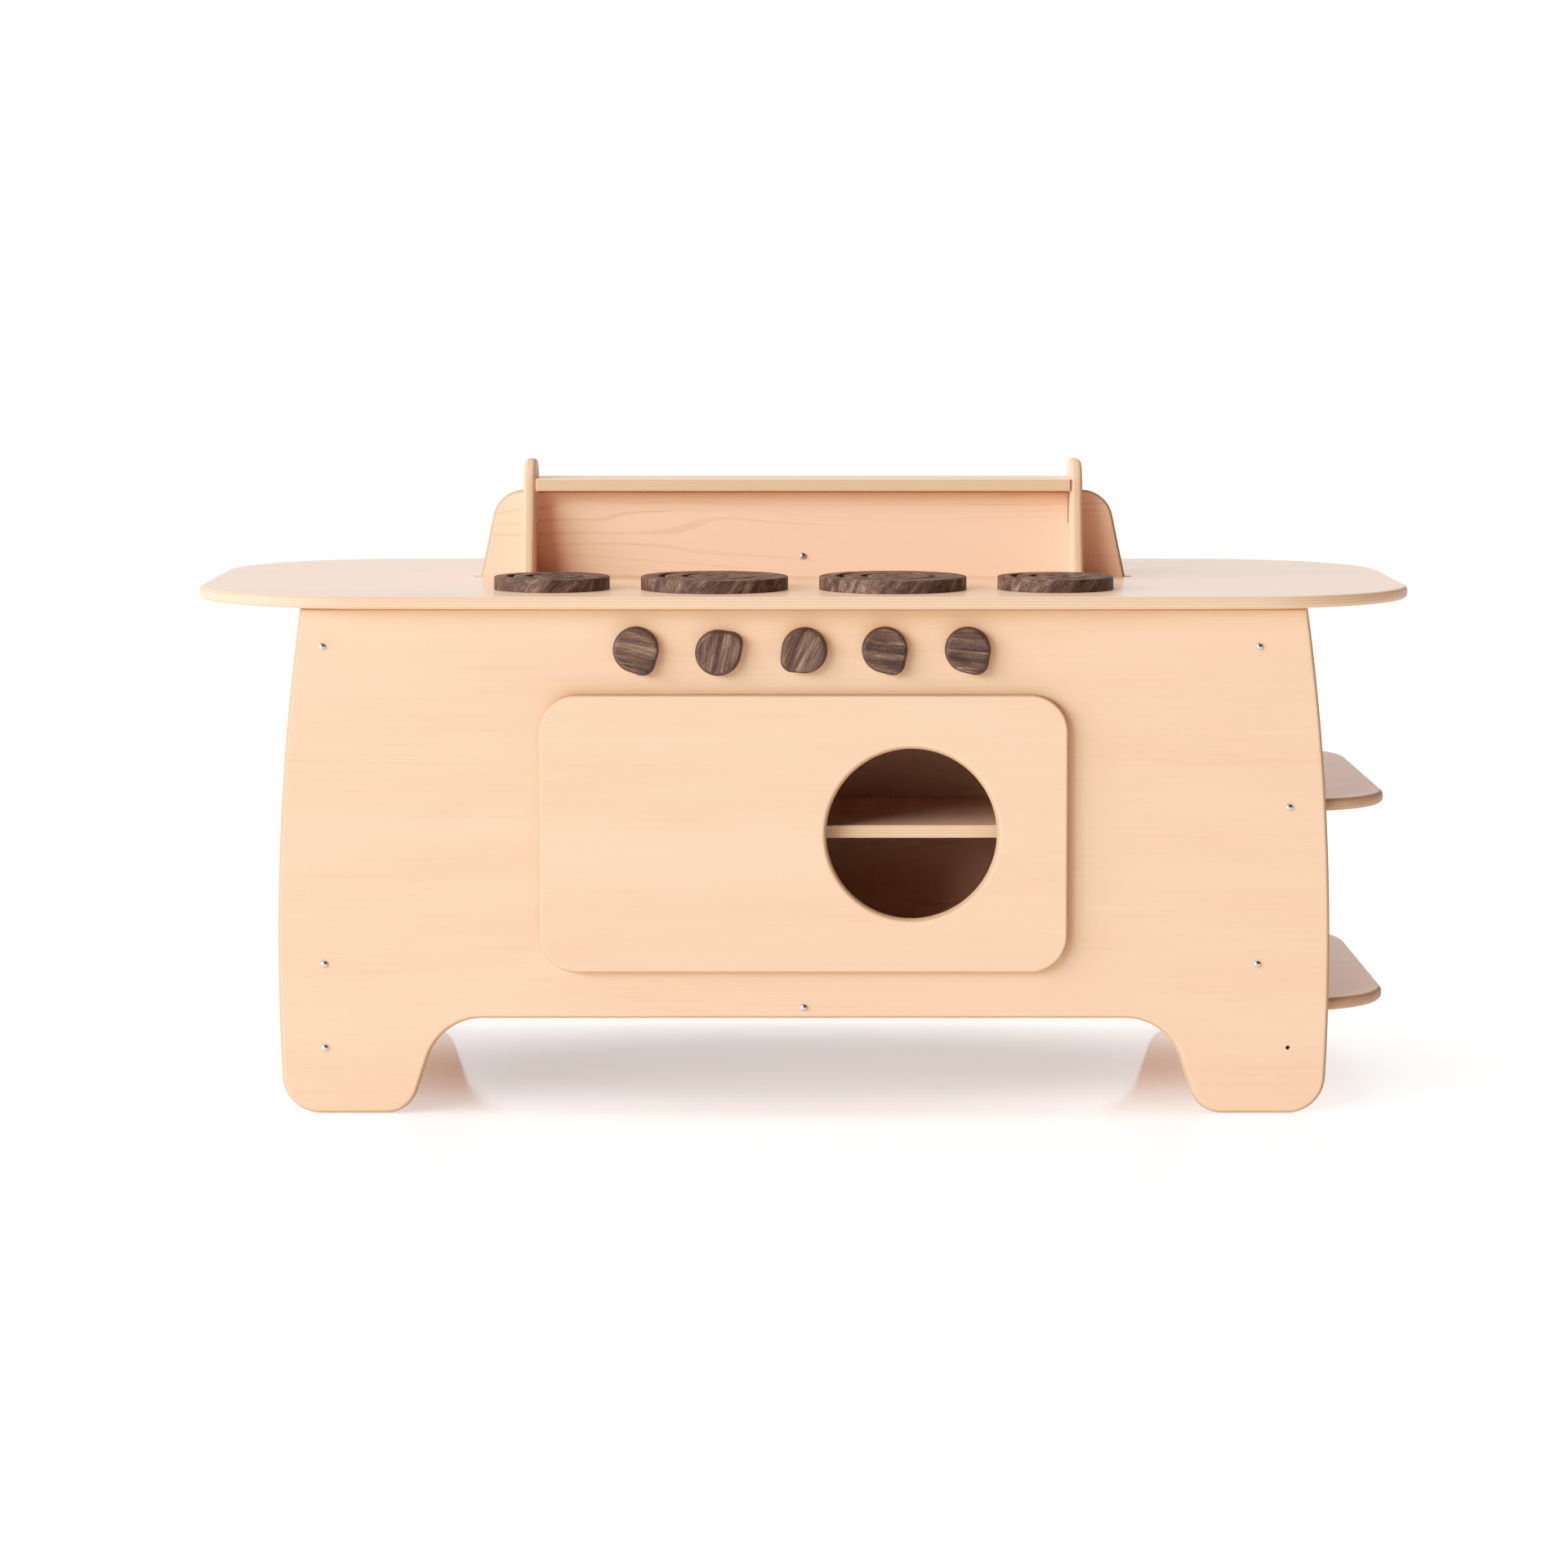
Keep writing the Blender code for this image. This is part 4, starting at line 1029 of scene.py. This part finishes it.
# %% [markdown]
# ## Floor and light
# The kitchen stands on a plain white floor in a white room. A wide soft lamp far to the left gives
# the door, the knobs and the hutch their long soft shadows, and a weak one overhead reaches only
# what lies flat. The room is dim in front on the right, so nothing fills those shadows. The floor is
# glossy, so the feet mirror in it. It shines a little of its own light, and less so round the
# kitchen, like a lit table in a studio. It stays white without lighting the wood.

# %% Set the floor and the light
ROOM_LOW = 1.5              # light from the walls at the horizon
ROOM_HIGH = 0.8             # and from overhead
ROOM_DIM = 0.1              # share of it left in the dim corner
DIM_TURN = math.radians(50)     # of the dim corner, to the right of straight ahead
DIM_RISE = 0.35
LAMP_AWAY = 14.0
LAMP_TURN = math.radians(58)    # to the left of straight ahead
LAMP_RISE = math.radians(18)
LAMP_AIM = Vector((0.0, 0.0, 0.35))
LAMP_POWER = 3650
LAMP_WIDE = 18.0
LAMP_TALL = 5.0
TOP_LAMP_PLACE = (0.0, 0.0, 7.0)
TOP_LAMP_POWER = 200
TOP_LAMP_SIZE = 4.0
FLOOR_SIZE = 120
FLOOR_DROP = 0.0005         # below the feet, so that the two faces don't flicker
GLOW_NEAR = 0.04
GLOW_FAR = 0.62
GLOW_START, GLOW_END = 0.3, 0.9    # distances from the kitchen's middle, its depth counted double

floor_bm = bmesh.new()
bmesh.ops.create_grid(floor_bm, x_segments=1, y_segments=1, size=FLOOR_SIZE / 2)
floor_mesh = bpy.data.meshes.new("floor")
floor_bm.to_mesh(floor_mesh)
floor_bm.free()
floor = bpy.data.objects.new("floor", floor_mesh)
floor.location.z = -FLOOR_DROP
bpy.context.collection.objects.link(floor)
paper = Finish("floor_white", Base_Color=(0.93, 0.895, 0.875, 1), Roughness=0.09,
               Specular_IOR_Level=1.0, Emission_Strength=1.0)
x, y = paper.object_axes()[:2]
away = paper.node("VectorMath", {"operation": "LENGTH"}, {0: paper.combine(x, 2 * y, 0)}, out=1)
glow = GLOW_NEAR + (GLOW_FAR - GLOW_NEAR) * paper.step(away, GLOW_START, GLOW_END)
floor_mesh.materials.append(paper.shade(Emission_Color=paper.combine(glow, glow, glow)))

world = bpy.data.worlds.new("white_room")
world.use_nodes = True
scene.world = world
room = world.node_tree
look = room.nodes.new("ShaderNodeTexCoord")


def room_fade(direction, full, none, strong, weak):
    """A value that goes from strong to weak as the view turns towards a direction."""
    ahead = room.nodes.new("ShaderNodeVectorMath")
    ahead.operation = "DOT_PRODUCT"
    ahead.inputs[1].default_value = direction
    room.links.new(look.outputs["Generated"], ahead.inputs[0])
    fade = room.nodes.new("ShaderNodeMapRange")
    for name, value in zip(("From Min", "From Max", "To Min", "To Max"), (full, none, strong, weak)):
        fade.inputs[name].default_value = value
    room.links.new(ahead.outputs["Value"], fade.inputs["Value"])
    return fade.outputs["Result"]


strength = room.nodes.new("ShaderNodeMath")
strength.operation = "MULTIPLY"
room.links.new(room_fade((0, 0, 1), 0.07, 0.25, ROOM_LOW, ROOM_HIGH), strength.inputs[0])
corner = (math.sin(DIM_TURN), -math.cos(DIM_TURN), DIM_RISE)
room.links.new(room_fade(corner, 0.05, 0.65, 1.0, ROOM_DIM), strength.inputs[1])
room.links.new(strength.outputs[0], room.nodes["Background"].inputs["Strength"])
room.nodes["Background"].inputs["Color"].default_value = (1, 1, 1, 1)

lamp_data = bpy.data.lights.new("soft_lamp", "AREA")
lamp_data.energy = LAMP_POWER
lamp_data.shape = "RECTANGLE"
lamp_data.size = LAMP_WIDE
lamp_data.size_y = LAMP_TALL
lamp = bpy.data.objects.new("soft_lamp", lamp_data)
level = LAMP_AWAY * math.cos(LAMP_RISE)
lamp_place = LAMP_AIM + Vector((-level * math.sin(LAMP_TURN), -level * math.cos(LAMP_TURN),
                                LAMP_AWAY * math.sin(LAMP_RISE)))
lamp.location = lamp_place
lamp.rotation_euler = (LAMP_AIM - lamp_place).to_track_quat("-Z", "Y").to_euler()
bpy.context.collection.objects.link(lamp)

top_data = bpy.data.lights.new("top_lamp", "AREA")
top_data.energy = TOP_LAMP_POWER
top_data.size = TOP_LAMP_SIZE
top_lamp = bpy.data.objects.new("top_lamp", top_data)
top_lamp.location = TOP_LAMP_PLACE
bpy.context.collection.objects.link(top_lamp)
print("lamps of", LAMP_POWER, "and", TOP_LAMP_POWER, "W")
